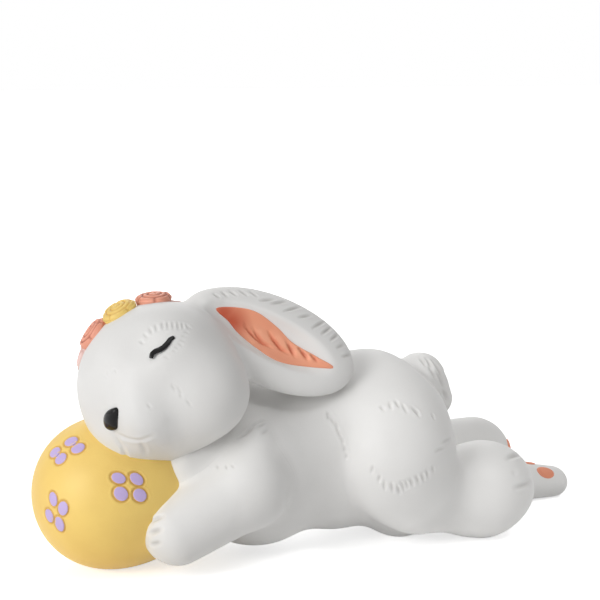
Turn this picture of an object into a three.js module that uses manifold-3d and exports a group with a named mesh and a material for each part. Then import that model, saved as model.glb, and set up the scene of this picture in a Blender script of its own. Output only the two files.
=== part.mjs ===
// A sleeping rabbit figurine with its head on a decorated egg, in cast and painted resin.
// The figure is cast in sections whose roots are glued into sockets: torso, head, ears, legs,
// tail, nose and egg, and a crown of small rosettes. Millimetres, +Z up, the rabbit faces -X,
// its left side faces -Y, and the origin is under the middle of the figure, on the shelf.

import * as THREE from "three";
import { mergeVertices } from "three/addons/utils/BufferGeometryUtils.js";
import Module from "manifold-3d";

const wasm = await Module();
wasm.setup();

// Glue joints
const GLUE_GAP = 0.3;
const ROOT_DEPTH = 5;
const NECK_PEG_DIAMETER = 12;
const NECK_PEG_LENGTH = 9;

// Egg, lying along X with its blunt end to the front, with a flat ground under it
const EGG_DIAMETER = 48.2;
const EGG_LENGTH = 59.8;
const EGG_TAPER = 0.14;
const EGG_FLAT = 0.2;
const EGG_SETTING = 43.1;

// Torso: chest, belly and rump in a row along X, two lobes of the breast that embrace the egg,
// and two haunches, each with a thigh that runs down to the hock
const CHEST_DIAMETER = 53;
const CHEST_HEIGHT = 28.5;
const TORSO_SPAN = 47;
const BELLY_LENGTH = 64;
const BELLY_WIDTH = 46;
const BELLY_DEPTH = 59;
const BELLY_HEIGHT = 33.6;
const BELLY_SETTING = 28;
const RUMP_LENGTH = 40.5;
const RUMP_WIDTH = 52;
const RUMP_DEPTH = 65;
const RUMP_HEIGHT = 30.9;
const RUMP_TILT = 13;
const HAUNCH_LENGTH = 40;
const HAUNCH_WIDTH = 32;
const HAUNCH_DEPTH = 43.8;
const HAUNCH_SPREAD = 18;
const HAUNCH_SETTING = 42.5;
const HAUNCH_HEIGHT = 33.6;
const THIGH_DIAMETER = 30;
const THIGH_HEIGHT = 28;
const HOCK_DIAMETER = 28;
const HOCK_SETTING = 49.5;
const HOCK_SPREAD = 17.5;
const HOCK_HEIGHT = 19;
const BREAST_ROOT_DIAMETER = 29;
const BREAST_DIAMETER = 21;
const BREAST_SETTING = 6;
const BREAST_REACH = 20;
const BREAST_SPREAD = 12;
const BREAST_HEIGHT = 33;
const NECK_DIAMETER = 32;
const NECK_ROOT_DIAMETER = 40;
const NECK_SWAY = 7;
const NECK_SETBACK = 4;

// Head, with its turn to the left, nod and lean to the right in degrees
const HEAD_LENGTH = 51;
const HEAD_WIDTH = 55;
const HEAD_DEPTH = 50;
const HEAD_SETBACK = 9.6;
const HEAD_OFFSET = 5;
const HEAD_RISE = 10.4;
const HEAD_TURN = 31;
const HEAD_NOD = 17;
const HEAD_LEAN = 41;
const MUZZLE_DIAMETER = 21;
const MUZZLE_SPREAD = 7.5;
const MUZZLE_REACH = 15;
const MUZZLE_DROP = 6;
const CHEEK_DIAMETER = 29;
const CHEEK_SPREAD = 13;
const CHEEK_DROP = 12;
const NOSE_WIDTH = 8.5;
const NOSE_HEIGHT = 6.5;
const NOSE_DEPTH = 6;

// Ears, each laid back over a shoulder, with a hollow in the outer face
const EAR_LENGTH = 57.5;
const EAR_WIDTH = 32;
const EAR_THICKNESS = 13;
const EAR_HOLLOW_LENGTH = 47;
const EAR_HOLLOW_WIDTH = 15;
const EAR_HOLLOW_DEPTH = 4.5;
const EAR_HOLLOW_SHIFT = 2;
const EAR_HOLLOW_TILT = 5;
const EAR_FOLDS = 5;
const EAR_FOLD_DEPTH = 0.7;
const EAR_FOLD_SLANT = 0.8;
const EAR_STALK = 13;
const EAR_ROOT = 9;
const EAR_OVERLAP = 1;
const LEFT_EAR_DROOP = 23.7;
const LEFT_EAR_SPLAY = 17;
const RIGHT_EAR_DROOP = 24;
const RIGHT_EAR_SPLAY = 9;
const EAR_FACE = 33;
const EAR_BACK = 17;
const EAR_SPREAD = 15;
const EAR_RISE = 12;

// Forelegs, folded forward beside the egg: shoulder, elbow and paw
const SHOULDER_DIAMETER = 8;
const SHOULDER_SETTING = 6.5;
const SHOULDER_HEIGHT = 42;
const ELBOW_DIAMETER = 26.4;
const ELBOW_SETTING = 9.8;
const ELBOW_HEIGHT = 27.2;
const FORELEG_REACH = 23;
const FORELEG_SPREAD = 20.5;
const PAW_DIAMETER = 22;
const PAW_HEIGHT = 15.3;

// Hind feet: the left one is tucked up beside the haunch, the right one is stretched out
const FOOT_LENGTH = 36;
const FOOT_WIDTH = 33;
const FOOT_DEPTH = 32.6;
const FOOT_SETTING = 29;
const FOOT_SPREAD = 14.5;
const FOOT_FLAT = 0.4;
const SHIN_DIAMETER = 27;
const SHIN_HEIGHT = 18;
const SHIN_SPREAD = 16.8;
const SOLE_REACH = 15;
const SOLE_SLOPE = 40.5;
const HEEL_DIAMETER = 27;
const HEEL_HEIGHT = 18.4;
const STRETCH = 44;
const STRETCH_SPREAD = 20.5;
const TOE_DIAMETER = 11;
const TOE_HEIGHT = 5.1;
const TOE_REACH = 33;
const INSTEP_DIAMETER = 17;
const INSTEP_HEIGHT = 8.1;
const INSTEP_BREADTH = 1.33;

// Tail
const TAIL_LENGTH = 24;
const TAIL_DIAMETER = 17;
const TAIL_TIP_DIAMETER = 12;
const TAIL_INSET = 4.75;
const TAIL_HEIGHT = 48.8;
const TAIL_SLOPE = 53;

// Crown of rosettes, each a rolled petal band on a domed base
const ROSE_DIAMETER = 10.8;
const ROSE_HEIGHT = 3.8;
const ROSE_SPACING = 0.2;
const PETAL_THICKNESS = 1.3;
const PETAL_GAP = 0.45;
const BUD_DIAMETER = 7;
const BUD_HEIGHT = 2.4;
const CROWN_ROSES = 6;
const CROWN_SPREAD = 39.8;
const CROWN_BACK = 25.4;
const CROWN_LEAN = 12.3;
const CROWN_TURN = 41.9;

// Soft creases between forms, as blend widths
const TORSO_CREASE = 6;
const HAUNCH_CREASE = 2;
const HAUNCH_BLEND = 12;
const THIGH_BLEND = 8;
const BREAST_BLEND = 5;
const HEAD_CREASE = 5;
const LIMB_CREASE = 2.6;

// Facets of the lofted skins: rings in each rounded end, steps between the ends, and sides
const TORSO_FACETS = { cap: 8, rings: 8, sides: 30 };
const HEAD_FACETS = { cap: 8, rings: 3, sides: 24 };
const EAR_FACETS = { cap: 5, rings: 9, sides: 20 };
const HOLLOW_FACETS = { cap: 2, rings: 20, sides: 16 };
const NOSE_FACETS = { cap: 4, rings: 2, sides: 12 };
const FORELEG_FACETS = { cap: 7, rings: 5, sides: 16 };
const TUCKED_FOOT_FACETS = { cap: 6, rings: 6, sides: 20 };
const STRETCHED_FOOT_FACETS = { cap: 5, rings: 8, sides: 18 };
const TAIL_FACETS = { cap: 4, rings: 4, sides: 16 };

const V = (x, y, z) => new THREE.Vector3(x, y, z);
const radians = THREE.MathUtils.degToRad;
const LEFT = -1;
const RIGHT = 1;

// Rounded forms as distance fields: millimetres outside the surface, negative inside

function ellipsoid(centre, length, width, depth, turn = new THREE.Quaternion()) {
  const unturn = turn.clone().invert();
  const [a, b, c] = [length / 2, width / 2, depth / 2];
  const q = V(0, 0, 0);
  return (p) => {
    q.copy(p).sub(centre).applyQuaternion(unturn);
    const k = Math.hypot(q.x / a, q.y / b, q.z / c);
    const slope = Math.hypot(q.x / (a * a), q.y / (b * b), q.z / (c * c));
    return slope > 0 ? (k * (k - 1)) / slope : -Math.min(a, b, c);
  };
}

function ball(centre, diameter) {
  return (p) => p.distanceTo(centre) - diameter / 2;
}

// A chain of two balls and the cone that wraps them
function taper(start, startDiameter, end, endDiameter) {
  const axis = end.clone().sub(start);
  const span = axis.length();
  axis.normalize();
  const lean = (startDiameter - endDiameter) / 2 / span;
  const rise = Math.sqrt(1 - lean * lean);
  const q = V(0, 0, 0);
  return (p) => {
    q.copy(p).sub(start);
    const along = q.dot(axis);
    const away = Math.sqrt(Math.max(q.lengthSq() - along * along, 0));
    const foot = along - (away * lean) / rise;
    if (foot <= 0) return q.length() - startDiameter / 2;
    if (foot >= span) return p.distanceTo(end) - endDiameter / 2;
    return away * rise + along * lean - startDiameter / 2;
  };
}

function blendBy(f, g, widthAt) {
  return (p) => {
    const [a, b, width] = [f(p), g(p), widthAt(p)];
    const h = Math.max(width - Math.abs(a - b), 0) / width;
    return Math.min(a, b) - (h * h * width) / 4;
  };
}

const blend = (f, g, width) => blendBy(f, g, () => width);

// The part of one form that lies inside another, with a soft edge
function trim(f, g, width) {
  return (p) => {
    const [a, b] = [f(p), g(p)];
    const h = Math.max(width - Math.abs(a - b), 0) / width;
    return Math.max(a, b) + (h * h * width) / 4;
  };
}

const within = (f, g, reach) => (p) => Math.max(f(p), g(p) - reach);
const grown = (f, offset) => (p) => f(p) - offset;

// Closed skin of a field, lofted in rings round a spine that lies inside it

function reach(field, from, direction) {
  const p = V(0, 0, 0);
  let [inside, outside] = [0, 0];
  let depth = field(from);
  if (depth >= 0) throw new Error("the spine leaves its form");
  while (depth < 0) {
    inside = outside;
    outside += Math.max(-depth * 0.6, 0.2);
    depth = field(p.copy(direction).multiplyScalar(outside).add(from));
  }
  for (let i = 0; i < 24; i += 1) {
    const middle = (inside + outside) / 2;
    const d = field(p.copy(direction).multiplyScalar(middle).add(from));
    if (d < 0) inside = middle;
    else outside = middle;
  }
  return p.copy(direction).multiplyScalar(inside).add(from).clone();
}

function skin(field, start, end, side, { cap, rings, sides }) {
  const axis = end.clone().sub(start).normalize();
  const across = side.clone().addScaledVector(axis, -side.dot(axis)).normalize();
  const third = axis.clone().cross(across);
  const stations = [];
  for (let i = 1; i <= cap; i += 1) stations.push([0, -Math.cos((i / cap) * (Math.PI / 2))]);
  for (let i = 1; i < rings; i += 1) stations.push([i / rings, 0]);
  for (let i = cap; i >= 1; i -= 1) stations.push([1, Math.cos((i / cap) * (Math.PI / 2))]);
  const points = [reach(field, start, axis.clone().negate())];
  for (const [along, lean] of stations) {
    const from = start.clone().lerp(end, along);
    const spread = Math.sqrt(1 - lean * lean);
    for (let j = 0; j < sides; j += 1) {
      const angle = (2 * Math.PI * j) / sides;
      const direction = axis.clone().multiplyScalar(lean);
      direction.addScaledVector(across, spread * Math.cos(angle));
      direction.addScaledVector(third, spread * Math.sin(angle));
      points.push(reach(field, from, direction));
    }
  }
  points.push(reach(field, end, axis));
  const last = points.length - 1;
  const faces = [];
  for (let j = 0; j < sides; j += 1) {
    const next = (j + 1) % sides;
    faces.push(0, 1 + next, 1 + j);
    for (let i = 0; i < stations.length - 1; i += 1) {
      const row = 1 + i * sides;
      faces.push(row + j, row + next, row + sides + next);
      faces.push(row + j, row + sides + next, row + sides + j);
    }
    faces.push(last, last - sides + j, last - sides + next);
  }
  const geometry = new THREE.BufferGeometry().setFromPoints(points);
  geometry.setIndex(faces);
  return solid(geometry);
}

// Solids for cutting and joining

function solid(geometry, matrix = new THREE.Matrix4()) {
  const bare = geometry.clone().applyMatrix4(matrix);
  bare.deleteAttribute("normal");
  bare.deleteAttribute("uv");
  const merged = mergeVertices(bare, 1e-4);
  const mesh = new wasm.Mesh({
    numProp: 3,
    vertProperties: new Float32Array(merged.attributes.position.array),
    triVerts: new Uint32Array(merged.index.array),
  });
  return new wasm.Manifold(mesh);
}

// The space beyond a plane, as a block large enough to cut any piece here
function beyond(point, normal) {
  const size = 4 * (TORSO_SPAN + EGG_SETTING + STRETCH + TOE_REACH);
  const centre = point.clone().addScaledVector(normal, size / 2);
  const turn = new THREE.Quaternion().setFromUnitVectors(V(0, 0, 1), normal);
  const matrix = new THREE.Matrix4().compose(centre, turn, V(1, 1, 1));
  return solid(new THREE.BoxGeometry(size, size, size), matrix);
}

function rod(start, end, diameter) {
  const axis = end.clone().sub(start);
  const turn = new THREE.Quaternion().setFromUnitVectors(V(0, 1, 0), axis.clone().normalize());
  const centre = start.clone().lerp(end, 0.5);
  const matrix = new THREE.Matrix4().compose(centre, turn, V(1, 1, 1));
  return solid(new THREE.CylinderGeometry(diameter / 2, diameter / 2, axis.length(), 20), matrix);
}

const underShelf = beyond(V(0, 0, 0), V(0, 0, -1));

// Egg: a revolved profile, fuller towards its blunt end

const eggCentre = V(-EGG_SETTING, 0, EGG_DIAMETER / 2 - EGG_FLAT);

function eggSolid(offset) {
  const profile = [];
  const steps = 18;
  for (let i = 0; i <= steps; i += 1) {
    const angle = (Math.PI * i) / steps;
    const along = -Math.cos(angle);
    const fullness = (EGG_DIAMETER / 2) * (1 - EGG_TAPER * along) + offset;
    const radius = Math.max(fullness * Math.sin(angle), 0);
    profile.push(new THREE.Vector2(radius, along * (EGG_LENGTH / 2 + offset)));
  }
  profile[0].x = 0;
  profile[steps].x = 0;
  const matrix = new THREE.Matrix4().makeRotationZ(-Math.PI / 2).setPosition(eggCentre);
  return solid(new THREE.LatheGeometry(profile, 26), matrix);
}

// Torso

const chest = V(0, 0, CHEST_HEIGHT);
const rump = V(TORSO_SPAN, 0, RUMP_HEIGHT);
const eggTop = EGG_DIAMETER - EGG_FLAT;
const head = V(eggCentre.x + HEAD_SETBACK, -HEAD_OFFSET, eggTop + HEAD_RISE);

function torsoField() {
  let field = ball(chest, CHEST_DIAMETER);
  const belly = V(BELLY_SETTING, 0, BELLY_HEIGHT);
  field = blend(field, ellipsoid(belly, BELLY_LENGTH, BELLY_WIDTH, BELLY_DEPTH), TORSO_CREASE);
  const lean = new THREE.Quaternion().setFromAxisAngle(V(0, 1, 0), -radians(RUMP_TILT));
  field = blend(field, ellipsoid(rump, RUMP_LENGTH, RUMP_WIDTH, RUMP_DEPTH, lean), TORSO_CREASE);
  const nape = V(head.x + NECK_SETBACK, head.y + NECK_SWAY, head.z);
  const neckRoot = V(chest.x, chest.y + NECK_SWAY / 2, chest.z);
  field = blend(field, taper(neckRoot, NECK_ROOT_DIAMETER, nape, NECK_DIAMETER), TORSO_CREASE);
  for (const side of [LEFT, RIGHT]) {
    const inner = V(-BREAST_SETTING, side * BREAST_SPREAD, BREAST_HEIGHT);
    const outer = V(inner.x - BREAST_REACH, inner.y, inner.z);
    field = blend(field, taper(inner, BREAST_ROOT_DIAMETER, outer, BREAST_DIAMETER), BREAST_BLEND);
  }
  // Each haunch has a sharp crease below and melts into the back above
  const crease = (p) => {
    const rise = THREE.MathUtils.smoothstep(p.z, HAUNCH_HEIGHT, HAUNCH_HEIGHT + HAUNCH_DEPTH / 2);
    return HAUNCH_CREASE + (HAUNCH_BLEND - HAUNCH_CREASE) * rise;
  };
  for (const side of [LEFT, RIGHT]) {
    const hip = V(HAUNCH_SETTING, side * HAUNCH_SPREAD, HAUNCH_HEIGHT);
    const haunch = ellipsoid(hip, HAUNCH_LENGTH, HAUNCH_WIDTH, HAUNCH_DEPTH);
    const knee = V(HAUNCH_SETTING, side * HAUNCH_SPREAD, THIGH_HEIGHT);
    const hock = V(HOCK_SETTING, side * HOCK_SPREAD, HOCK_HEIGHT);
    const thigh = taper(knee, THIGH_DIAMETER, hock, HOCK_DIAMETER);
    field = blendBy(field, blend(haunch, thigh, THIGH_BLEND), crease);
  }
  return field;
}

// Head, in a frame of its own: X out of the nose, Y to its left, Z out of the crown

const headTurn = new THREE.Quaternion().setFromEuler(
  new THREE.Euler(radians(HEAD_LEAN), radians(HEAD_NOD), Math.PI + radians(HEAD_TURN), "ZYX"),
);
const onHead = (x, y, z) => V(x, y, z).applyQuaternion(headTurn).add(head);
const fromHead = (x, y, z) => V(x, y, z).applyQuaternion(headTurn).normalize();

function headField() {
  let field = ellipsoid(head, HEAD_LENGTH, HEAD_WIDTH, HEAD_DEPTH, headTurn);
  for (const side of [LEFT, RIGHT]) {
    const muzzle = onHead(MUZZLE_REACH, -side * MUZZLE_SPREAD, -MUZZLE_DROP);
    field = blend(field, ball(muzzle, MUZZLE_DIAMETER), HEAD_CREASE);
    const cheek = onHead(0, -side * CHEEK_SPREAD, -CHEEK_DROP);
    field = blend(field, ball(cheek, CHEEK_DIAMETER), HEAD_CREASE);
  }
  return field;
}

const torsoForm = torsoField();
const headForm = headField();

// Limbs and tail

function foreleg(side) {
  const elbow = V(-ELBOW_SETTING, side * FORELEG_SPREAD, ELBOW_HEIGHT);
  const paw = V(elbow.x - FORELEG_REACH, side * FORELEG_SPREAD, PAW_HEIGHT);
  const shoulder = V(-SHOULDER_SETTING, side * FORELEG_SPREAD, SHOULDER_HEIGHT);
  const forearm = taper(elbow, ELBOW_DIAMETER, paw, PAW_DIAMETER);
  const upperArm = taper(elbow, ELBOW_DIAMETER, shoulder, SHOULDER_DIAMETER);
  return {
    form: blend(forearm, upperArm, LIMB_CREASE),
    start: elbow,
    end: paw,
    root: V(0, side * (CHEST_DIAMETER / 2 - ROOT_DEPTH * 2), 0),
    out: V(0, side, 0),
    facets: FORELEG_FACETS,
  };
}

function tuckedFoot(side) {
  const sole = V(TORSO_SPAN + FOOT_SETTING, side * FOOT_SPREAD, FOOT_DEPTH / 2 - FOOT_FLAT);
  const knee = V(HAUNCH_SETTING + HAUNCH_LENGTH / 4, side * SHIN_SPREAD, SHIN_HEIGHT);
  const ankle = sole.clone().sub(V(FOOT_LENGTH / 4, 0, 0));
  const foot = ellipsoid(sole, FOOT_LENGTH, FOOT_WIDTH, FOOT_DEPTH);
  const shin = taper(knee, SHIN_DIAMETER, ankle, SHIN_DIAMETER);
  const slope = radians(SOLE_SLOPE);
  const tread = V(Math.sin(slope), 0, -Math.cos(slope));
  const beyondTread = (p) => p.clone().sub(sole).dot(tread) - SOLE_REACH;
  return {
    form: trim(blend(foot, shin, LIMB_CREASE), beyondTread, LIMB_CREASE),
    start: knee,
    end: sole.clone().add(V(FOOT_LENGTH / 8, 0, 0)),
    facets: TUCKED_FOOT_FACETS,
  };
}

function stretchedFoot(side) {
  const ankle = V(HAUNCH_SETTING + HAUNCH_LENGTH / 4, side * STRETCH_SPREAD, HEEL_HEIGHT);
  const heel = V(TORSO_SPAN + STRETCH, side * STRETCH_SPREAD, HEEL_HEIGHT);
  const instep = V(heel.x, 0, INSTEP_HEIGHT);
  const toe = V(heel.x + TOE_REACH, 0, TOE_HEIGHT);
  const leg = taper(ankle, HEEL_DIAMETER, heel, HEEL_DIAMETER);
  const slim = taper(instep, INSTEP_DIAMETER, toe, TOE_DIAMETER);
  // The foot is broader than it is thick
  const foot = (p) => slim(V(p.x, (p.y - side * STRETCH_SPREAD) / INSTEP_BREADTH, p.z));
  return {
    form: blend(leg, foot, LIMB_CREASE),
    start: ankle,
    end: V(toe.x - TOE_REACH / 6, side * STRETCH_SPREAD, TOE_HEIGHT + TOE_DIAMETER / 8),
    facets: STRETCHED_FOOT_FACETS,
  };
}

function tail() {
  const middle = V(TORSO_SPAN + RUMP_LENGTH / 2 - TAIL_INSET, 0, TAIL_HEIGHT);
  const slope = radians(TAIL_SLOPE);
  const along = V(Math.cos(slope), 0, -Math.sin(slope));
  const half = TAIL_LENGTH / 2 - (TAIL_DIAMETER + TAIL_TIP_DIAMETER) / 4;
  const start = middle.clone().addScaledVector(along, -half);
  const end = middle.clone().addScaledVector(along, half);
  const out = V(Math.sin(slope), 0, Math.cos(slope));
  return {
    form: taper(start, TAIL_DIAMETER, end, TAIL_TIP_DIAMETER),
    start,
    end,
    root: middle.clone().addScaledVector(out, -TAIL_DIAMETER / 4),
    out,
    facets: TAIL_FACETS,
  };
}

const limbs = {
  left_foreleg: foreleg(LEFT),
  right_foreleg: foreleg(RIGHT),
  left_hind_foot: tuckedFoot(LEFT),
  right_hind_foot: stretchedFoot(RIGHT),
  tail: tail(),
};

let bodyForm = torsoForm;
for (const limb of Object.values(limbs)) bodyForm = blend(bodyForm, limb.form, LIMB_CREASE);

const CREASE_REACH = LIMB_CREASE / 4;

function limbSolid(limb) {
  const raw = within(bodyForm, limb.form, CREASE_REACH);
  const whole = skin(raw, limb.start, limb.end, V(0.3, 0.9, 0.4), limb.facets);
  if (!limb.root) return whole;
  return whole.subtract(beyond(limb.root, limb.out.clone().negate()));
}

function limbSocket(limb) {
  const raw = within(grown(bodyForm, 3), limb.form, CREASE_REACH + GLUE_GAP);
  const whole = skin(raw, limb.start, limb.end, V(0.3, 0.9, 0.4), limb.facets);
  if (!limb.root) return whole;
  const floor = limb.root.clone().addScaledVector(limb.out, -GLUE_GAP);
  return whole.subtract(beyond(floor, limb.out.clone().negate()));
}

function torsoSkin(offset) {
  const raw = within(bodyForm, torsoForm, CREASE_REACH);
  return skin(grown(raw, offset), chest, rump, V(0, 1, 0), TORSO_FACETS);
}

function headSkin(offset) {
  const start = onHead(-HEAD_LENGTH / 8, 0, 0);
  const end = onHead(HEAD_LENGTH / 8, 0, 0);
  return skin(grown(headForm, offset), start, end, V(0, 1, 0), HEAD_FACETS);
}

// Ears: a leaf form with a hollow in its outer face, rooted in the back of the head

function earFrame(side) {
  const droop = radians(side === LEFT ? LEFT_EAR_DROOP : RIGHT_EAR_DROOP);
  const splay = radians(side === LEFT ? LEFT_EAR_SPLAY : RIGHT_EAR_SPLAY);
  const level = Math.cos(droop);
  const along = V(level * Math.cos(splay), side * level * Math.sin(splay), -Math.sin(droop));
  const face = V(0, side * Math.cos(radians(EAR_FACE)), Math.sin(radians(EAR_FACE)));
  face.addScaledVector(along, -face.dot(along)).normalize();
  const across = face.clone().cross(along);
  const basis = new THREE.Matrix4().makeBasis(along, across, face);
  const turn = new THREE.Quaternion().setFromRotationMatrix(basis);
  const out = fromHead(-EAR_BACK, -side * EAR_SPREAD, EAR_RISE);
  const base = reach(headForm, head, out);
  const root = base.clone().addScaledVector(out, -EAR_ROOT);
  const middle = base.clone().addScaledVector(along, EAR_LENGTH / 2 - EAR_OVERLAP);
  return { along, across, face, turn, out, base, root, middle };
}

function earLeaf(side, offset) {
  const { along, face, turn, out, base, root, middle } = earFrame(side);
  const leaf = ellipsoid(middle, EAR_LENGTH, EAR_WIDTH, EAR_THICKNESS, turn);
  const half = EAR_LENGTH / 2 - EAR_THICKNESS / 2;
  const start = middle.clone().addScaledVector(along, -half);
  const end = middle.clone().addScaledVector(along, half);
  const stalkFoot = root.clone().addScaledVector(out, -EAR_STALK / 2);
  const stalk = taper(stalkFoot, EAR_STALK, start, EAR_THICKNESS * 0.6);
  const form = grown(blend(leaf, stalk, EAR_STALK / 2), offset);
  const floor = root.clone().addScaledVector(out, -offset);
  const raw = skin(form, start, end, face, EAR_FACETS);
  return raw.subtract(beyond(floor, out.clone().negate()));
}

// The hollow has slanting folds on both sides of a middle vein, like a leaf
function earHollow(side) {
  const ear = earFrame(side);
  const { face, middle } = ear;
  const tilt = new THREE.Quaternion().setFromAxisAngle(face, radians(side * EAR_HOLLOW_TILT));
  const along = ear.along.clone().applyQuaternion(tilt);
  const across = ear.across.clone().applyQuaternion(tilt);
  const turn = tilt.multiply(ear.turn);
  const centre = middle.clone().addScaledVector(face, EAR_THICKNESS / 2);
  centre.addScaledVector(across, side * EAR_HOLLOW_SHIFT);
  const scoop = ellipsoid(centre, EAR_HOLLOW_LENGTH, EAR_HOLLOW_WIDTH, EAR_HOLLOW_DEPTH * 2, turn);
  const pitch = EAR_HOLLOW_LENGTH / (EAR_FOLDS + 1);
  const q = V(0, 0, 0);
  const folded = (p) => {
    q.copy(p).sub(centre);
    const fold = (q.dot(along) - EAR_FOLD_SLANT * Math.abs(q.dot(across))) / pitch;
    const below = Math.max(-q.dot(face) / EAR_HOLLOW_DEPTH, 0);
    return scoop(p) + EAR_FOLD_DEPTH * below * (0.5 + 0.5 * Math.cos(2 * Math.PI * fold));
  };
  const half = EAR_HOLLOW_LENGTH / 2 - EAR_HOLLOW_DEPTH;
  const start = centre.clone().addScaledVector(along, -half);
  const end = centre.clone().addScaledVector(along, half);
  return skin(folded, start, end, face, HOLLOW_FACETS);
}

// Nose, set into the tip of the muzzle

const nosePoint = reach(headForm, head, fromHead(1, 0, 0));

function noseSolid(offset) {
  const width = NOSE_WIDTH + 2 * offset;
  const height = NOSE_HEIGHT + 2 * offset;
  const depth = NOSE_DEPTH + 2 * offset;
  const form = ellipsoid(nosePoint, depth, width, height, headTurn);
  const half = fromHead(0, 1, 0).multiplyScalar(NOSE_WIDTH / 8);
  return skin(form, nosePoint.clone().sub(half), nosePoint.clone().add(half), V(0, 0, 1), NOSE_FACETS);
}

// Crown: rosettes in a ring on the head

function rosette(diameter, height) {
  const radius = diameter / 2;
  const base = new THREE.LatheGeometry(
    [
      new THREE.Vector2(0, -2),
      new THREE.Vector2(radius * 0.8, -2),
      new THREE.Vector2(radius * 0.92, height * 0.2),
      new THREE.Vector2(radius * 0.6, height * 0.4),
      new THREE.Vector2(0, height * 0.5),
    ],
    12,
  ).rotateX(Math.PI / 2);
  const inner = [];
  const outer = [];
  const eye = PETAL_THICKNESS * 0.6;
  const turns = (radius - eye - PETAL_THICKNESS) / (PETAL_THICKNESS + PETAL_GAP);
  const steps = Math.max(Math.round(turns * 9), 3);
  for (let i = 0; i <= steps; i += 1) {
    const angle = (2 * Math.PI * turns * i) / steps;
    const r = eye + ((radius - eye - PETAL_THICKNESS) * i) / steps;
    const ripple = (0.09 * radius * Math.max(Math.sin(2.5 * angle), 0) * i) / steps;
    const towards = new THREE.Vector2(Math.cos(angle), Math.sin(angle));
    outer.push(towards.clone().multiplyScalar(r + PETAL_THICKNESS - ripple));
    inner.push(towards.clone().multiplyScalar(r));
  }
  const band = new THREE.Shape([...outer, ...inner.reverse()]);
  const petal = new THREE.ExtrudeGeometry(band, { depth: height, bevelEnabled: false });
  const position = petal.attributes.position;
  for (let i = 0; i < position.count; i += 1) {
    const away = Math.hypot(position.getX(i), position.getY(i)) / radius;
    position.setZ(i, position.getZ(i) * (1 - 0.4 * away * away));
  }
  return solid(base).add(solid(petal));
}

const crownAxis = fromHead(
  -Math.sin(radians(CROWN_BACK)),
  -Math.sin(radians(CROWN_LEAN)),
  Math.cos(radians(CROWN_BACK)) * Math.cos(radians(CROWN_LEAN)),
);
const crownStart = fromHead(0, 1, 0);
crownStart.addScaledVector(crownAxis, -crownStart.dot(crownAxis)).normalize();
const crownSide = crownAxis.clone().cross(crownStart);

function crownPoint(angle) {
  const spread = radians(CROWN_SPREAD);
  const direction = crownAxis.clone().multiplyScalar(Math.cos(spread));
  direction.addScaledVector(crownStart, Math.sin(spread) * Math.cos(angle));
  direction.addScaledVector(crownSide, Math.sin(spread) * Math.sin(angle));
  return { direction, seat: reach(headForm, head, direction) };
}

// Rosettes follow each other round the ring, each turned by the angle that its width takes up
const crownArm = Math.min(HEAD_LENGTH, HEAD_WIDTH, HEAD_DEPTH) / 2;
const crownRadius = crownArm * Math.sin(radians(CROWN_SPREAD));
const crownStep = 2 * Math.asin((ROSE_DIAMETER + ROSE_SPACING) / (2 * crownRadius));

// Colours and finishes

const paint = (color, roughness) => new THREE.MeshStandardMaterial({ color, roughness, metalness: 0 });
const white = paint(0xe4e3e1, 0.62);
const coral = paint(0xda8b66, 0.6);
const cream = paint(0xf4d27c, 0.6);
const blush = paint(0xf3dcd8, 0.6);
const yellow = paint(0xf2c871, 0.55);
const black = paint(0x201f22, 0.25);

// Assembly

const figurine = new THREE.Group();

function place(name, piece, material) {
  const { vertProperties, triVerts } = piece.getMesh();
  const geometry = new THREE.BufferGeometry();
  geometry.setAttribute("position", new THREE.BufferAttribute(new Float32Array(vertProperties), 3));
  geometry.setIndex(new THREE.BufferAttribute(new Uint32Array(triVerts), 1));
  geometry.computeVertexNormals();
  const mesh = new THREE.Mesh(geometry, material);
  mesh.name = name;
  figurine.add(mesh);
}

const eggCutter = eggSolid(GLUE_GAP);
const headCutter = headSkin(GLUE_GAP);
const torsoCutter = torsoSkin(GLUE_GAP);
const earCutters = [LEFT, RIGHT].map((side) => earLeaf(side, GLUE_GAP));

// The neck peg stands on the torso and enters the head
const neckAxis = head.clone().sub(chest).normalize();
const neckSeat = reach(headForm, head, neckAxis.clone().negate());
const pegStart = neckSeat.clone().addScaledVector(neckAxis, -ROOT_DEPTH);
const pegEnd = neckSeat.clone().addScaledVector(neckAxis, NECK_PEG_LENGTH);
const peg = rod(pegStart, pegEnd, NECK_PEG_DIAMETER);
const pegHoleEnd = pegEnd.clone().addScaledVector(neckAxis, GLUE_GAP);
const pegHole = rod(pegStart, pegHoleEnd, NECK_PEG_DIAMETER + 2 * GLUE_GAP);

let torsoPiece = torsoSkin(0).subtract(underShelf).subtract(eggCutter).subtract(headCutter);
const sockets = Object.values(limbs).map(limbSocket);
for (const socket of sockets) torsoPiece = torsoPiece.subtract(socket);
place("torso", torsoPiece.add(peg), white);

let headPiece = headSkin(0).subtract(eggCutter).subtract(pegHole).subtract(noseSolid(GLUE_GAP));
for (const cutter of earCutters) headPiece = headPiece.subtract(cutter);
place("head", headPiece, white);
place("nose", noseSolid(0), black);

for (const side of [LEFT, RIGHT]) {
  let ear = earLeaf(side, 0).subtract(earHollow(side)).subtract(torsoCutter);
  for (const socket of sockets) ear = ear.subtract(socket);
  place(side === LEFT ? "left_ear" : "right_ear", ear, white);
}

for (const [name, limb] of Object.entries(limbs)) {
  const piece = limbSolid(limb).subtract(underShelf).subtract(eggCutter).subtract(headCutter);
  place(name, piece, white);
}

place("egg", eggSolid(0).subtract(underShelf), yellow);

function placeRose(name, step, diameter, height, material) {
  const { direction, seat } = crownPoint(step * crownStep - radians(CROWN_TURN));
  const turn = new THREE.Quaternion().setFromUnitVectors(V(0, 0, 1), direction);
  const matrix = new THREE.Matrix4().compose(seat, turn, V(1, 1, 1));
  let rose = rosette(diameter, height).transform(matrix.elements).subtract(headCutter);
  for (const cutter of earCutters) rose = rose.subtract(cutter);
  place(name, rose, material);
}

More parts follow.
